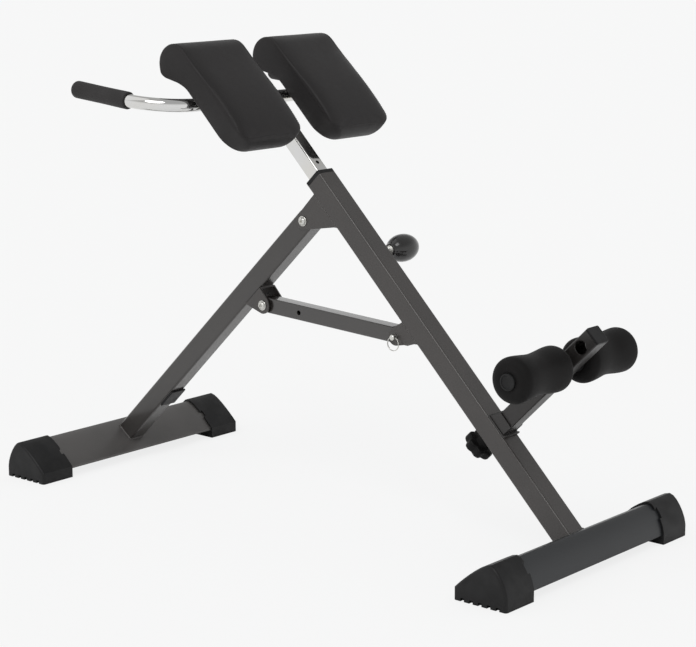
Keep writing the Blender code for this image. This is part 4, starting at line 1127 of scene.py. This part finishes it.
@dataclass
class HipPads:
    """Both hip pads with their stitches, staples and the screws of their channels."""

    layout: Layout
    swell_frames: int = 20
    staple_start: float = 0.925
    staple_pitch: float = 0.019
    staple_rows: int = 7
    staple_across: float = 0.066
    staple_wire: float = 0.0005
    screw_places: Pair = (0.965, 1.010)
    channel_below: float = 0.0035

    def build(self) -> None:
        """Sew, swell and finish the pads."""
        pads = [HipPad(hand, self.layout) for hand in Hand]
        for pad in pads:
            pad.build()
            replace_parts(pad.piece, "pad_" + pad.hand.word)
        for pad in pads:
            pad.inflate(self.swell_frames)
        for frame in range(1, self.swell_frames + 1):
            bpy.context.scene.frame_set(frame)
        for pad in pads:
            pad.settle()
            pad.stitch()
            self.staples(pad)
            self.screws(pad)
        bpy.context.scene.frame_set(1)

    def staples(self, pad: HipPad) -> None:
        """Staple the folded vinyl to the under-board.

        Args:
            pad: The pad to staple.
        """
        draft = Draft("pad_staples_" + pad.hand.word, self.layout.beam)
        above = pad.underside - 0.0001
        for i in range(self.staple_rows):
            for side in (-1, 1):
                across = pad.middle + side * self.staple_across
                route = [Vector((-self.staple_start - self.staple_pitch * i, across + reach, above + lift))
                         for reach, lift in ((-0.005, 0.0006), (-0.0046, 0), (0.0046, 0), (0.005, 0.0006))]
                draft.tube(route, self.staple_wire, 6)
        draft.finish(FINISHES.zinc, "post_body", 60)

    def screws(self, pad: HipPad) -> None:
        """Hold the channel to the board with hex screws and washers, seen from below.

        Args:
            pad: The pad whose channel is screwed.
        """
        draft = Draft("pad_screws_" + pad.hand.word)
        washer = [(0, 0), (0.0075, 0), (0.0078, 0.0004), (0.0078, 0.0012), (0.0075, 0.0015), (0, 0.0015)]
        for along in self.screw_places:
            face = self.layout.beam_at(along, pad.middle, pad.underside - self.channel_below)
            draft.frame = face @ Matrix.Rotation(pi, 4, "X")
            draft.lathe(washer, 32)
            draft.loft([hexagon(0.0057, 0.0015), hexagon(0.0058, 0.0018), hexagon(0.0058, 0.0050),
                        hexagon(0.0052, 0.0056)])
        draft.finish(FINISHES.zinc, "post_body", 30)


@dataclass
class Handlebar:
    """The bent chrome bar through the post, with a foam grip on each end."""

    layout: Layout
    along: float = 1.0373
    half_spread: float = 0.272
    bend: float = 0.092
    reach: float = 0.232
    drop: float = radians(40.0)
    radius: float = 0.0125
    grip_radius: float = 0.0165
    grip_length: float = 0.1445
    grip_wall: float = 0.0043
    grip_waist: float = 0.0003
    grip_rows: int = 18
    mouth_rounding: float = 0.0016
    dome: float = 0.0075

    def place(self, reach: float, across: float) -> Vector:
        """A point of the bar's middle line in the beam's frame."""
        return Vector((-self.along - reach * cos(self.drop), across, -reach * sin(self.drop)))

    def build(self) -> None:
        """Bend the bar and pull on the grips."""
        straight = self.half_spread - self.bend
        half = [(self.reach, self.half_spread), (self.reach * 0.7, self.half_spread)]
        half += [(self.bend - b, straight + a) for a, b in arc((0, 0), self.bend, 0, pi / 2, 28)]
        route = [self.place(reach, across) for reach, across in half]
        route += [self.place(reach, -across) for reach, across in reversed(half)]
        bar = Draft("handlebar_tube", self.layout.beam).tube(route, self.radius, 48)
        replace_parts(bar.finish(FINISHES.chrome, "post_body", 50), "handlebar")
        for hand in Hand:
            self.grip(hand)

    def grip(self, hand: Hand) -> None:
        """Pull on one foam grip: closed end, soft mouth and a shallow waist.

        Args:
            hand: The grip's side.
        """
        turn = Matrix.Rotation(atan2(-cos(self.drop), -sin(self.drop)), 4, "Y")
        frame = self.layout.beam_at(self.along, hand.value * self.half_spread) @ turn
        end = self.reach + self.grip_wall
        mouth, shoulder = end - self.grip_length, end - self.dome
        radius, soft = self.grip_radius, self.mouth_rounding
        profile = [(0, end)] + list(reversed(arc((radius - self.dome, shoulder), self.dome, 0, pi / 2, 8)))
        for i in range(1, self.grip_rows):
            share = i / self.grip_rows
            waist = self.grip_waist * (0.5 - 0.5 * cos(2 * pi * share))
            profile.append((radius - waist, shoulder + (mouth + 0.003 - shoulder) * share))
        profile += arc((radius - soft, mouth + soft), soft, 0, -pi / 2, 4)
        profile += [(self.radius + 0.0002, mouth), (self.radius + 0.0002, mouth + 0.01)]
        draft = Draft("grip_foam_" + hand.word, frame).lathe(profile, 56)
        piece = draft.finish(FINISHES.grip, "post_body", 50)
        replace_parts(piece, "grip_" + hand.word)


@dataclass
class AnkleRollers:
    """Two foam rollers on their axle, with dished end plugs."""

    layout: Layout
    inner: float = 0.029
    length: float = 0.1437
    radius: float = 0.041
    waist: float = 0.0365
    waist_rows: int = 22
    soft: float = 0.016
    bore: float = 0.0130
    dent: float = 0.00035
    plug_radius: float = 0.015
    plug_rim: float = 0.0035
    plug_rounding: float = 0.0012
    plug_stem: Pair = (0.0102, 0.014)

    def frame(self, hand: Hand) -> Matrix:
        """Frame at the bench's middle on the axle, Z outwards to one side."""
        centre = self.layout.beam_at(self.layout.arm_along, above=self.layout.axle_height)
        return centre @ Matrix.Rotation(-hand.value * pi / 2, 4, "X")

    def build(self) -> None:
        """Mould both rollers and their plugs."""
        for hand in Hand:
            self.roller(hand)
            self.plug(hand)

    def roller(self, hand: Hand) -> None:
        """Mould one roller: two bulges, a waist and rounded ends round a tight bore.

        Args:
            hand: The roller's side.
        """
        half, middle = self.length / 2, self.inner + self.length / 2
        straight = half - self.soft
        upper = [(self.bore, half - 0.004), (self.bore, half - 0.0006), (self.bore + 0.0008, half)]
        upper += reversed(arc((self.radius - self.soft, straight), self.soft, 0, pi / 2, 12))
        for i in range(1, self.waist_rows + 1):
            height = straight * (1 - i / self.waist_rows)
            sink = 0.5 + 0.5 * cos(pi * height / straight)
            upper.append((self.radius - (self.radius - self.waist) * sink, height))
        profile = [(r, middle + h) for r, h in upper] + [(r, middle - h) for r, h in reversed(upper[:-1])]
        axis = self.frame(hand)
        draft = Draft("foam_roller_" + hand.word, axis).lathe(profile, 80)
        for vert in draft.mesh.verts:
            out = axis.inverted() @ vert.co
            out.z = 0
            if out.length > self.plug_radius + 0.004:
                dent = noise.noise(vert.co * 32.0) * self.dent
                vert.co += (axis.to_3x3() @ out.normalized()) * dent
        piece = draft.finish(FINISHES.foam, f"roller_{hand.word}_body", 50)
        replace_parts(piece, "roller_" + hand.word)

    def plug(self, hand: Hand) -> None:
        """Mould the dished plug in the axle's open end.

        Args:
            hand: The plug's side.
        """
        face = self.inner + self.length + 0.0003
        rim, radius, soft = self.plug_rim, self.plug_radius, self.plug_rounding
        stem, depth = self.plug_stem
        profile = [(0, face + rim * 0.45), (radius - 0.0052, face + rim * 0.45),
                   (radius - 0.0036, face + rim * 0.62), (radius - 0.0030, face + rim)]
        profile += reversed(arc((radius - soft, face + rim - soft), soft, 0, pi / 2, 4))
        profile += [(radius, face), (stem, face), (stem, face - depth), (0, face - depth)]
        draft = Draft("axle_plug_dished_" + hand.word, self.frame(hand)).lathe(profile, 48)
        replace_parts(draft.finish(FINISHES.plastic, "frame", 35), "axle_plug_" + hand.word)


@dataclass
class Knobs:
    """The egg-shaped pull knob with its threaded collar, and the lobed knob under the beam."""

    layout: Layout
    outer: float = 0.0228
    collar_radius: float = 0.011
    collar_length: float = 0.025
    thread_pitch: float = 0.0014
    knob_radius: float = 0.0266
    knob_length: float = 0.076
    knob_middle: float = 0.50
    knob_low: float = 0.15
    neck_radius: float = 0.0125
    neck_height: float = 0.04
    pin_bore: Pair = (0.0043, 0.0182)
    star_radius: float = 0.029
    lobes: int = 7
    lobe_depth: float = 0.0046
    lobe_steps: int = 14
    star_thickness: float = 0.019
    star_rounding: float = 0.0045
    hub_radius: float = 0.015
    hub_height: float = 0.017
    stud_bore: float = 0.0051

    def build(self) -> None:
        """Turn the egg and its collar, and mould the star."""
        self.egg()
        self.collar()
        self.star()

    def egg(self) -> None:
        """Turn the glossy knob: full egg, short neck and a flat foot."""
        foot = self.outer + self.collar_length + 0.0003
        tip = foot + self.knob_length
        centre = foot + self.knob_length * self.knob_middle
        low = foot + self.knob_length * self.knob_low
        profile = [(0, tip)]
        for i in range(1, 23):
            height = tip - (tip - low) * (i / 22) ** 1.7
            share = (height - centre) / (tip - centre)
            profile.append((self.knob_radius * sqrt(max(0.0, 1 - share * share)), height))
        last = profile[-1]
        neck = (self.neck_radius, foot + self.knob_length * self.neck_height)
        points = (last, (last[0] - 0.0025, last[1] - 0.0032), (neck[0] + 0.0012, neck[1] + 0.0024), neck)
        for i in range(1, 13):
            t = i / 12
            weights = ((1 - t) ** 3, 3 * t * (1 - t) ** 2, 3 * t * t * (1 - t), t ** 3)
            profile.append(tuple(sum(w * p[k] for w, p in zip(weights, points)) for k in (0, 1)))
        bore, depth = self.pin_bore
        profile += [(self.neck_radius, foot + 0.0008), (self.neck_radius - 0.0008, foot), (bore, foot),
                    (bore, foot + depth), (0, foot + depth)]
        draft = Draft("pull_knob_egg", self.layout.pull_pin).lathe(profile, 72)
        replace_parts(draft.finish(FINISHES.gloss, "pull_pin_body", 50), "pull_knob")

    def collar(self) -> None:
        """Turn the collar on the beam's side, threaded over its outer half."""
        low, high = self.outer, self.outer + self.collar_length
        radius, bore = self.collar_radius, self.pin_bore[0]
        profile = [(bore, low), (radius, low), (radius, low + self.collar_length * 0.42)]
        height = low + self.collar_length * 0.44
        while height < high - 0.0016:
            profile += [(radius - 0.0011, height), (radius - 0.0002, height + 0.0006)]
            height += self.thread_pitch
        profile += [(radius - 0.0010, high - 0.0004), (radius - 0.0016, high), (bore, high), (bore, low)]
        draft = Draft("pull_collar_threaded", self.layout.pull_pin).lathe(profile, 48)
        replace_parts(draft.finish(FINISHES.zinc, "frame", 30), "pull_collar")

    def star(self) -> None:
        """Mould the lobed knob: rounded rims, a dished underside and a round hub."""
        face = -(self.layout.beam_height / 2 + 0.0003)
        top = face - self.hub_height
        low = top - self.star_thickness
        soft, hub, edge = self.star_rounding, self.hub_radius, self.star_radius - self.star_rounding
        profile = [(0.0085, low + 0.0030), (0.0100, low + 0.0008), (0.0125, low)]
        profile += arc((edge, low + soft), soft, -pi / 2, 0, 6) + arc((edge, top - soft), soft, 0, pi / 2, 6)
        profile += [(hub + 0.004, top), (hub + 0.001, top + 0.001), (hub, top + 0.004), (hub, face - 0.001),
                    (hub - 0.001, face), (self.stud_bore, face), (self.stud_bore, low + 0.0030)]
        rings = []
        for radius, height in profile:
            reach = min(1.0, max(0.0, (radius - hub) / (self.star_radius - hub)))
            ring = []
            for turn in round_angles(self.lobes * self.lobe_steps):
                wave = 0.5 - 0.5 * cos(self.lobes * turn)
                size = radius - self.lobe_depth * reach * wave ** 1.6
                ring.append((size * cos(turn), size * sin(turn), height))
            rings.append(ring)
        stud = self.layout.beam_at(self.layout.arm_along + self.layout.stud_offset)
        draft = Draft("star_knob_lobed", stud).loft(rings, capped=False, looped=True)
        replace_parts(draft.finish(FINISHES.star, "star_body", 42), "star_knob")


@dataclass
class PivotBolts:
    """The two pivot bolts: washer and socket head on the right, lock nut on the left."""

    layout: Layout
    fold_grip: float = 0.0228
    brace_grip: float = 0.0223
    washer_radius: float = 0.0098
    washer: float = 0.0016
    head_radius: float = 0.0080
    head: float = 0.0044
    head_rows: int = 8
    socket_rim: float = 0.0040
    shank: float = 0.0049

    def build(self) -> None:
        """Make both bolts at their pivots."""
        self.bolt("fold_bolt", self.layout.leg_top, self.fold_grip, "frame")
        self.bolt("brace_bolt", self.layout.brace_pivot, self.brace_grip, "front_leg")

    def bolt(self, node: str, place: Triple, grip: float, body: str) -> None:
        """Make one bolt and nut across the bench.

        Args:
            node: The CAD node that it stands for.
            place: The pivot's middle.
            grip: Half the width that it clamps.
            body: The body that it rides on.
        """
        draft = Draft(node + "_fitted", Matrix.Translation(place) @ Matrix.Rotation(pi / 2, 4, "X"))
        draft.lathe([(0, -grip), (self.shank, -grip), (self.shank, grip), (0, grip)], 24)
        rim, bore, base = self.washer_radius, self.shank - 0.001, grip + self.washer
        for sign in (1, -1):
            draft.lathe([(radius, sign * height) for radius, height in (
                (bore, grip), (rim - 0.0003, grip), (rim, grip + 0.0003), (rim, base - 0.0003),
                (rim - 0.0003, base), (bore, base))], 40)
        top = base + self.head
        dome = [(self.head_radius, base), (self.head_radius, base + 0.0006)]
        for i in range(1, self.head_rows):
            t = i / self.head_rows
            dome.append((self.head_radius - (self.head_radius - self.socket_rim) * t ** 1.5,
                         base + 0.0006 + (self.head - 0.0006) * sin(pi / 2 * t)))
        draft.lathe(dome + [(0.0037, top), (0.0030, top - 0.0004)], 40)
        draft.loft([hexagon(0.0030, top - 0.0004), hexagon(0.0029, base + 0.0012),
                    hexagon(0.0001, base + 0.0010)], capped=False)
        nut = ((0.0080, 0), (0.0084, 0.0004), (0.0084, 0.0034), (0.0078, 0.0039))
        draft.loft([hexagon(radius, -base - height, 0.3) for radius, height in nut])
        bore = self.shank - 0.0008
        lock = ((0.0064, 0.0039), (0.0062, 0.0043), (0.0046, 0.0046), (bore, 0.0042), (bore, 0.0046),
                (0, 0.0046))
        draft.lathe([(radius, -base - height) for radius, height in lock], 32)
        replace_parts(draft.finish(FINISHES.zinc, body, 32), node)


@dataclass
class SplitRing:
    """The split ring in the ring pin's head: two touching coils of spring wire."""

    middle: Triple = (0.1794, -0.0283, 0.3491)
    radius: float = 0.0130
    wire: float = 0.00065
    steps: int = 44
    start: float = pi * 0.30
    crossing: Pair = (0.46, 0.08)

    def build(self) -> None:
        """Wind the ring, its wire crossing over to the second coil half way."""
        route = []
        last = 2 * self.steps - 4
        for i in range(last + 1):
            turn = self.start + 2 * pi * i / self.steps
            step = min(1.0, max(0.0, (i / last - self.crossing[0]) / self.crossing[1]))
            sideways = (eased(step) - 0.5) * 2 * self.wire
            route.append(Vector((self.radius * cos(turn), sideways, self.radius * sin(turn))))
        draft = Draft("split_ring_wound", Matrix.Translation(self.middle)).tube(route, self.wire, 12)
        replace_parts(draft.finish(FINISHES.zinc, "ring_body", 50), "pin_ring")


@dataclass
class WeldBeads:
    """Beads where tubes, brackets and the collar are welded, under the same paint."""

    nodes: dict[str, bpy.types.Object]
    layout: Layout
    pitch: float = 0.0009
    ripple: float = 0.0026
    facets: int = 10
    tube_corner: float = 0.004
    foot_size: float = 0.0024
    side_size: float = 0.0023
    cross_size: float = 0.0014
    collar_radius: float = 0.0112
    collar_size: float = 0.0012
    cross_beads: tuple[tuple[str, float], ...] = (
        ("weld_fold_bracket_top", 0.8143), ("weld_fold_bracket_low", 0.7348),
        ("weld_brace_bracket_top", 0.5088), ("weld_brace_bracket_low", 0.4584))
    side_beads: tuple[tuple[str, float, float], ...] = (
        ("weld_fold_bracket", 0.7356, 0.8135), ("weld_brace_bracket", 0.4592, 0.5080))
    leg_beads: tuple[tuple[str, float], ...] = (
        ("weld_leg_bracket_top", 0.1828), ("weld_leg_bracket_low", 0.2352))

    def bead(self, name: str, route: Sequence[Vector], size: float, body: str, closed: bool = False) -> None:
        """Lay one rippled bead.

        Args:
            name: The piece's name.
            route: Its middle line, in the row's frame.
            size: Its radius.
            body: The body that it rides on.
            closed: Whether it runs round.
        """
        ends = [*route, route[0]] if closed else list(route)
        fine = spaced(ends, self.pitch, round) + ([] if closed else ends[-1:])
        draft = Draft(name).tube(fine, size, self.facets, closed)
        draft.mesh.verts.ensure_lookup_table()
        for i, place in enumerate(fine):
            swell = (1 + 0.10 * sin(2 * pi * i * self.pitch / self.ripple)
                     + 0.18 * noise.noise(place * 140.0))
            for vert in draft.mesh.verts[i * self.facets:(i + 1) * self.facets]:
                vert.co = place + (vert.co - place) * swell
        LOG.info("bead %s, %d rings", name, len(fine))
        draft.finish(FINISHES.frame, body, 70)

    def outline(self, width: float, height: float) -> list[Pair]:
        """Draw a tube's outer section.

        Args:
            width: Its size across.
            height: Its size above.

        Returns:
            The section's points, across and above.
        """
        points = []
        for x, y, start in ((1, 1, 0), (-1, 1, pi / 2), (-1, -1, pi), (1, -1, 1.5 * pi)):
            middle = (x * (width / 2 - self.tube_corner), y * (height / 2 - self.tube_corner))
            points += arc(middle, self.tube_corner, start, start + pi / 2, 4)
        return points

    def foot_joint(self, name: str, frame: Matrix, section: list[Pair], tube: str, body: str) -> None:
        """Lay the bead where a slanted tube stands on its foot tube.

        Args:
            name: The piece's name.
            frame: The slanted tube's frame.
            section: Its outer section.
            tube: The foot tube's node.
            body: The body that the bead rides on.
        """
        tree = surface_of(self.nodes[tube].data)
        down = frame.to_3x3() @ Vector((-1, 0, 0))
        if down.z > 0:
            down = -down
        route = []
        for across, above in section:
            base = frame @ Vector((0, across, above))
            hit = tree.ray_cast(base - down * 0.4 if base.z < 0.3 else base + down * 0.2, down)[0]
            if hit is not None:
                route.append(hit)
        self.bead(name, route, self.foot_size, body, True)

    def build(self) -> None:
        """Lay every bead."""
        lay = self.layout
        self.foot_joint("weld_beam_foot", lay.beam, self.outline(lay.beam_width, lay.beam_height),
                        "rear_foot_tube", "frame")
        self.foot_joint("weld_leg_foot", lay.leg, self.outline(lay.leg_width, lay.leg_height),
                        "front_foot_tube", "front_leg")
        ring = [lay.pull_pin @ Vector((self.collar_radius * cos(a), self.collar_radius * sin(a),
                                       lay.beam_width / 2 + 0.0002)) for a in round_angles(28)]
        self.bead("weld_pull_collar", ring, self.collar_size, "frame", True)
        below = -lay.beam_height / 2
        for name, along in self.cross_beads:
            route = [lay.beam @ Vector((-along, across, below - 0.0006)) for across in (-0.019, 0.019)]
            self.bead(name, route, self.cross_size, "frame")
        for name, low, high in self.side_beads:
            for hand in Hand:
                route = [lay.beam @ Vector((-along, hand.value * 0.0206, below - 0.0002))
                         for along in (low, high)]
                self.bead(f"{name}_{hand.word}", route, self.side_size, "frame")
        for name, down in self.leg_beads:
            route = [lay.leg @ Vector((-down, across, -0.0216)) for across in (-0.0175, 0.0175)]
            self.bead(name, route, self.cross_size, "front_leg")


@dataclass
class Studio:
    """Plain pale floor, soft light and the camera."""

    floor_colour: Triple = (0.92, 0.92, 0.92)
    floor_glow: Triple = (0.930, 0.932, 0.932)
    floor_share: float = 0.87
    floor_size: float = 60.0
    key: float = 0.95
    fill: float = 0.35
    sky: float = 0.70
    backdrop: float = 0.93
    camera_place: Triple = (2.508, -2.860, 1.156)
    camera_turn: Triple = (78.16, 0.0, 40.73)
    focal_pixels: float = 2033.2
    picture_width: int = 696

    def build(self) -> None:
        """Set up floor, world, lamps and camera."""
        self.floor()
        self.world()
        self.lamp("key_sun", (0.30, -0.62, 0.80), self.key, 34.0)
        self.lamp("fill_sun", (-0.55, -0.35, 0.75), self.fill, 60.0)
        self.camera()

    def floor(self) -> None:
        """Lay a wide pale floor under the bench, which keeps its shadow."""
        draft = Draft("studio_floor")
        bmesh.ops.create_grid(draft.mesh, x_segments=8, y_segments=8, size=self.floor_size)
        data = draft.cast()
        floor = bpy.data.objects.new(draft.name, data)
        floor.location = (0, 0, -0.0004)
        bpy.context.scene.collection.objects.link(floor)
        paint = bpy.data.materials.new("studio_floor_white")
        paint.use_nodes = True
        wiring = Wiring(paint.node_tree)
        matte = wiring.node("ShaderNodeBsdfDiffuse", {}, {"Color": (*self.floor_colour, 1.0)})
        glow = wiring.node("ShaderNodeEmission", {}, {"Color": (*self.floor_glow, 1.0), "Strength": 1.0})
        seen = wiring.reading(wiring.node("ShaderNodeLightPath"), "Is Camera Ray") * self.floor_share
        mixed = wiring.node("ShaderNodeMixShader", {}, {0: seen, 1: matte.outputs[0], 2: glow.outputs[0]})
        wiring.node("ShaderNodeOutputMaterial", {}, {"Surface": mixed.outputs[0]})
        data.materials.append(paint)

    def world(self) -> None:
        """Light a pale room: white where the camera and low reflections look, dimmer overhead."""
        world = bpy.data.worlds.new("pale_room")
        bpy.context.scene.world = world
        world.use_nodes = True
        wiring = Wiring(world.node_tree)
        around = wiring.node("ShaderNodeTexCoord").outputs["Generated"]
        height = wiring.reading(wiring.node("ShaderNodeSeparateXYZ", {}, {0: around}), "Z")
        path = wiring.node("ShaderNodeLightPath")
        seen = wiring.reading(path, "Is Camera Ray")
        gloss = wiring.reading(path, "Is Glossy Ray")
        overhead = height.ramp(0.10, 0.62, self.backdrop, 0.50)
        level = seen * self.backdrop + (1.0 - seen) * (gloss * overhead + (1.0 - gloss) * self.sky)
        back = wiring.node("ShaderNodeBackground", {}, {"Color": (1.0, 1.0, 1.0, 1.0), "Strength": level})
        wiring.node("ShaderNodeOutputWorld", {}, {"Surface": back.outputs[0]})

    def lamp(self, name: str, towards: Triple, strength: float, spread: float) -> None:
        """Hang a soft distant lamp.

        Args:
            name: Its name.
            towards: Direction from the bench to the lamp.
            strength: Its strength.
            spread: Its apparent size in degrees.
        """
        data = bpy.data.lights.new(name, "SUN")
        data.energy = strength
        data.angle = radians(spread)
        lamp = bpy.data.objects.new(name, data)
        lamp.rotation_mode = "QUATERNION"
        lamp.rotation_quaternion = Vector(towards).to_track_quat("Z", "Y")
        bpy.context.scene.collection.objects.link(lamp)

    def camera(self) -> None:
        """Set the camera at the photograph's viewing angle."""
        data = bpy.data.cameras.new("view")
        data.sensor_fit = "HORIZONTAL"
        data.sensor_width = 36.0
        data.lens = data.sensor_width * self.focal_pixels / self.picture_width
        data.clip_end = 300.0
        camera = bpy.data.objects.new("view", data)
        camera.location = self.camera_place
        camera.rotation_euler = Euler([radians(a) for a in self.camera_turn])
        bpy.context.scene.collection.objects.link(camera)
        bpy.context.scene.camera = camera


STEEL = (
    (FINISHES.frame, ("main_beam", "fold_bracket", "brace_bracket", "leg_bracket"), 0.0005),
    (FINISHES.arm, ("roller_arm", "arm_saddle"), 0.0005),
    (FINISHES.leg, ("front_leg_tube",), 0.0005),
    (FINISHES.brace, ("brace_tube",), 0.0005),
    (FINISHES.rear_foot, ("rear_foot_tube",), 0.0005),
    (FINISHES.front_foot, ("front_foot_tube",), 0.0005),
    (FINISHES.plastic, ("beam_sleeve", "arm_plug", "axle_collar_right", "axle_collar_left", "leg_stop",
                        "brace_spacer_right", "brace_spacer_left", "post_plug", "post_glide",
                        "rear_foot_cap_right", "rear_foot_cap_left", "front_foot_cap_right",
                        "front_foot_cap_left"), 0.0005),
    (FINISHES.zinc, ("lock_pin", "pull_pin", "arm_stud", "pad_bracket_right", "pad_bracket_left"), 0.0004),
    (FINISHES.chrome, ("seat_post", "roller_axle"), 0.0004))


def main() -> None:
    """Build every sub-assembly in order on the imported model."""
    logging.basicConfig(level=logging.INFO, format="%(message)s")
    for thing in list(bpy.data.objects):
        bpy.data.objects.remove(thing)
    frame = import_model()
    bpy.context.scene.view_settings.view_transform = "Standard"
    layout = Layout()
    Studio().build()
    steel = RefinedSteel(frame["nodes"], frame["record"]["behaviour"]["bodies"])
    for finish, nodes, edge in STEEL:
        for node in nodes:
            steel.show(node, finish, edge)
    HipPads(layout).build()
    Handlebar(layout).build()
    AnkleRollers(layout).build()
    Knobs(layout).build()
    PivotBolts(layout).build()
    SplitRing().build()
    WeldBeads(frame["nodes"], layout).build()
    bpy.context.view_layer.update()


if __name__ == "__main__":
    main()
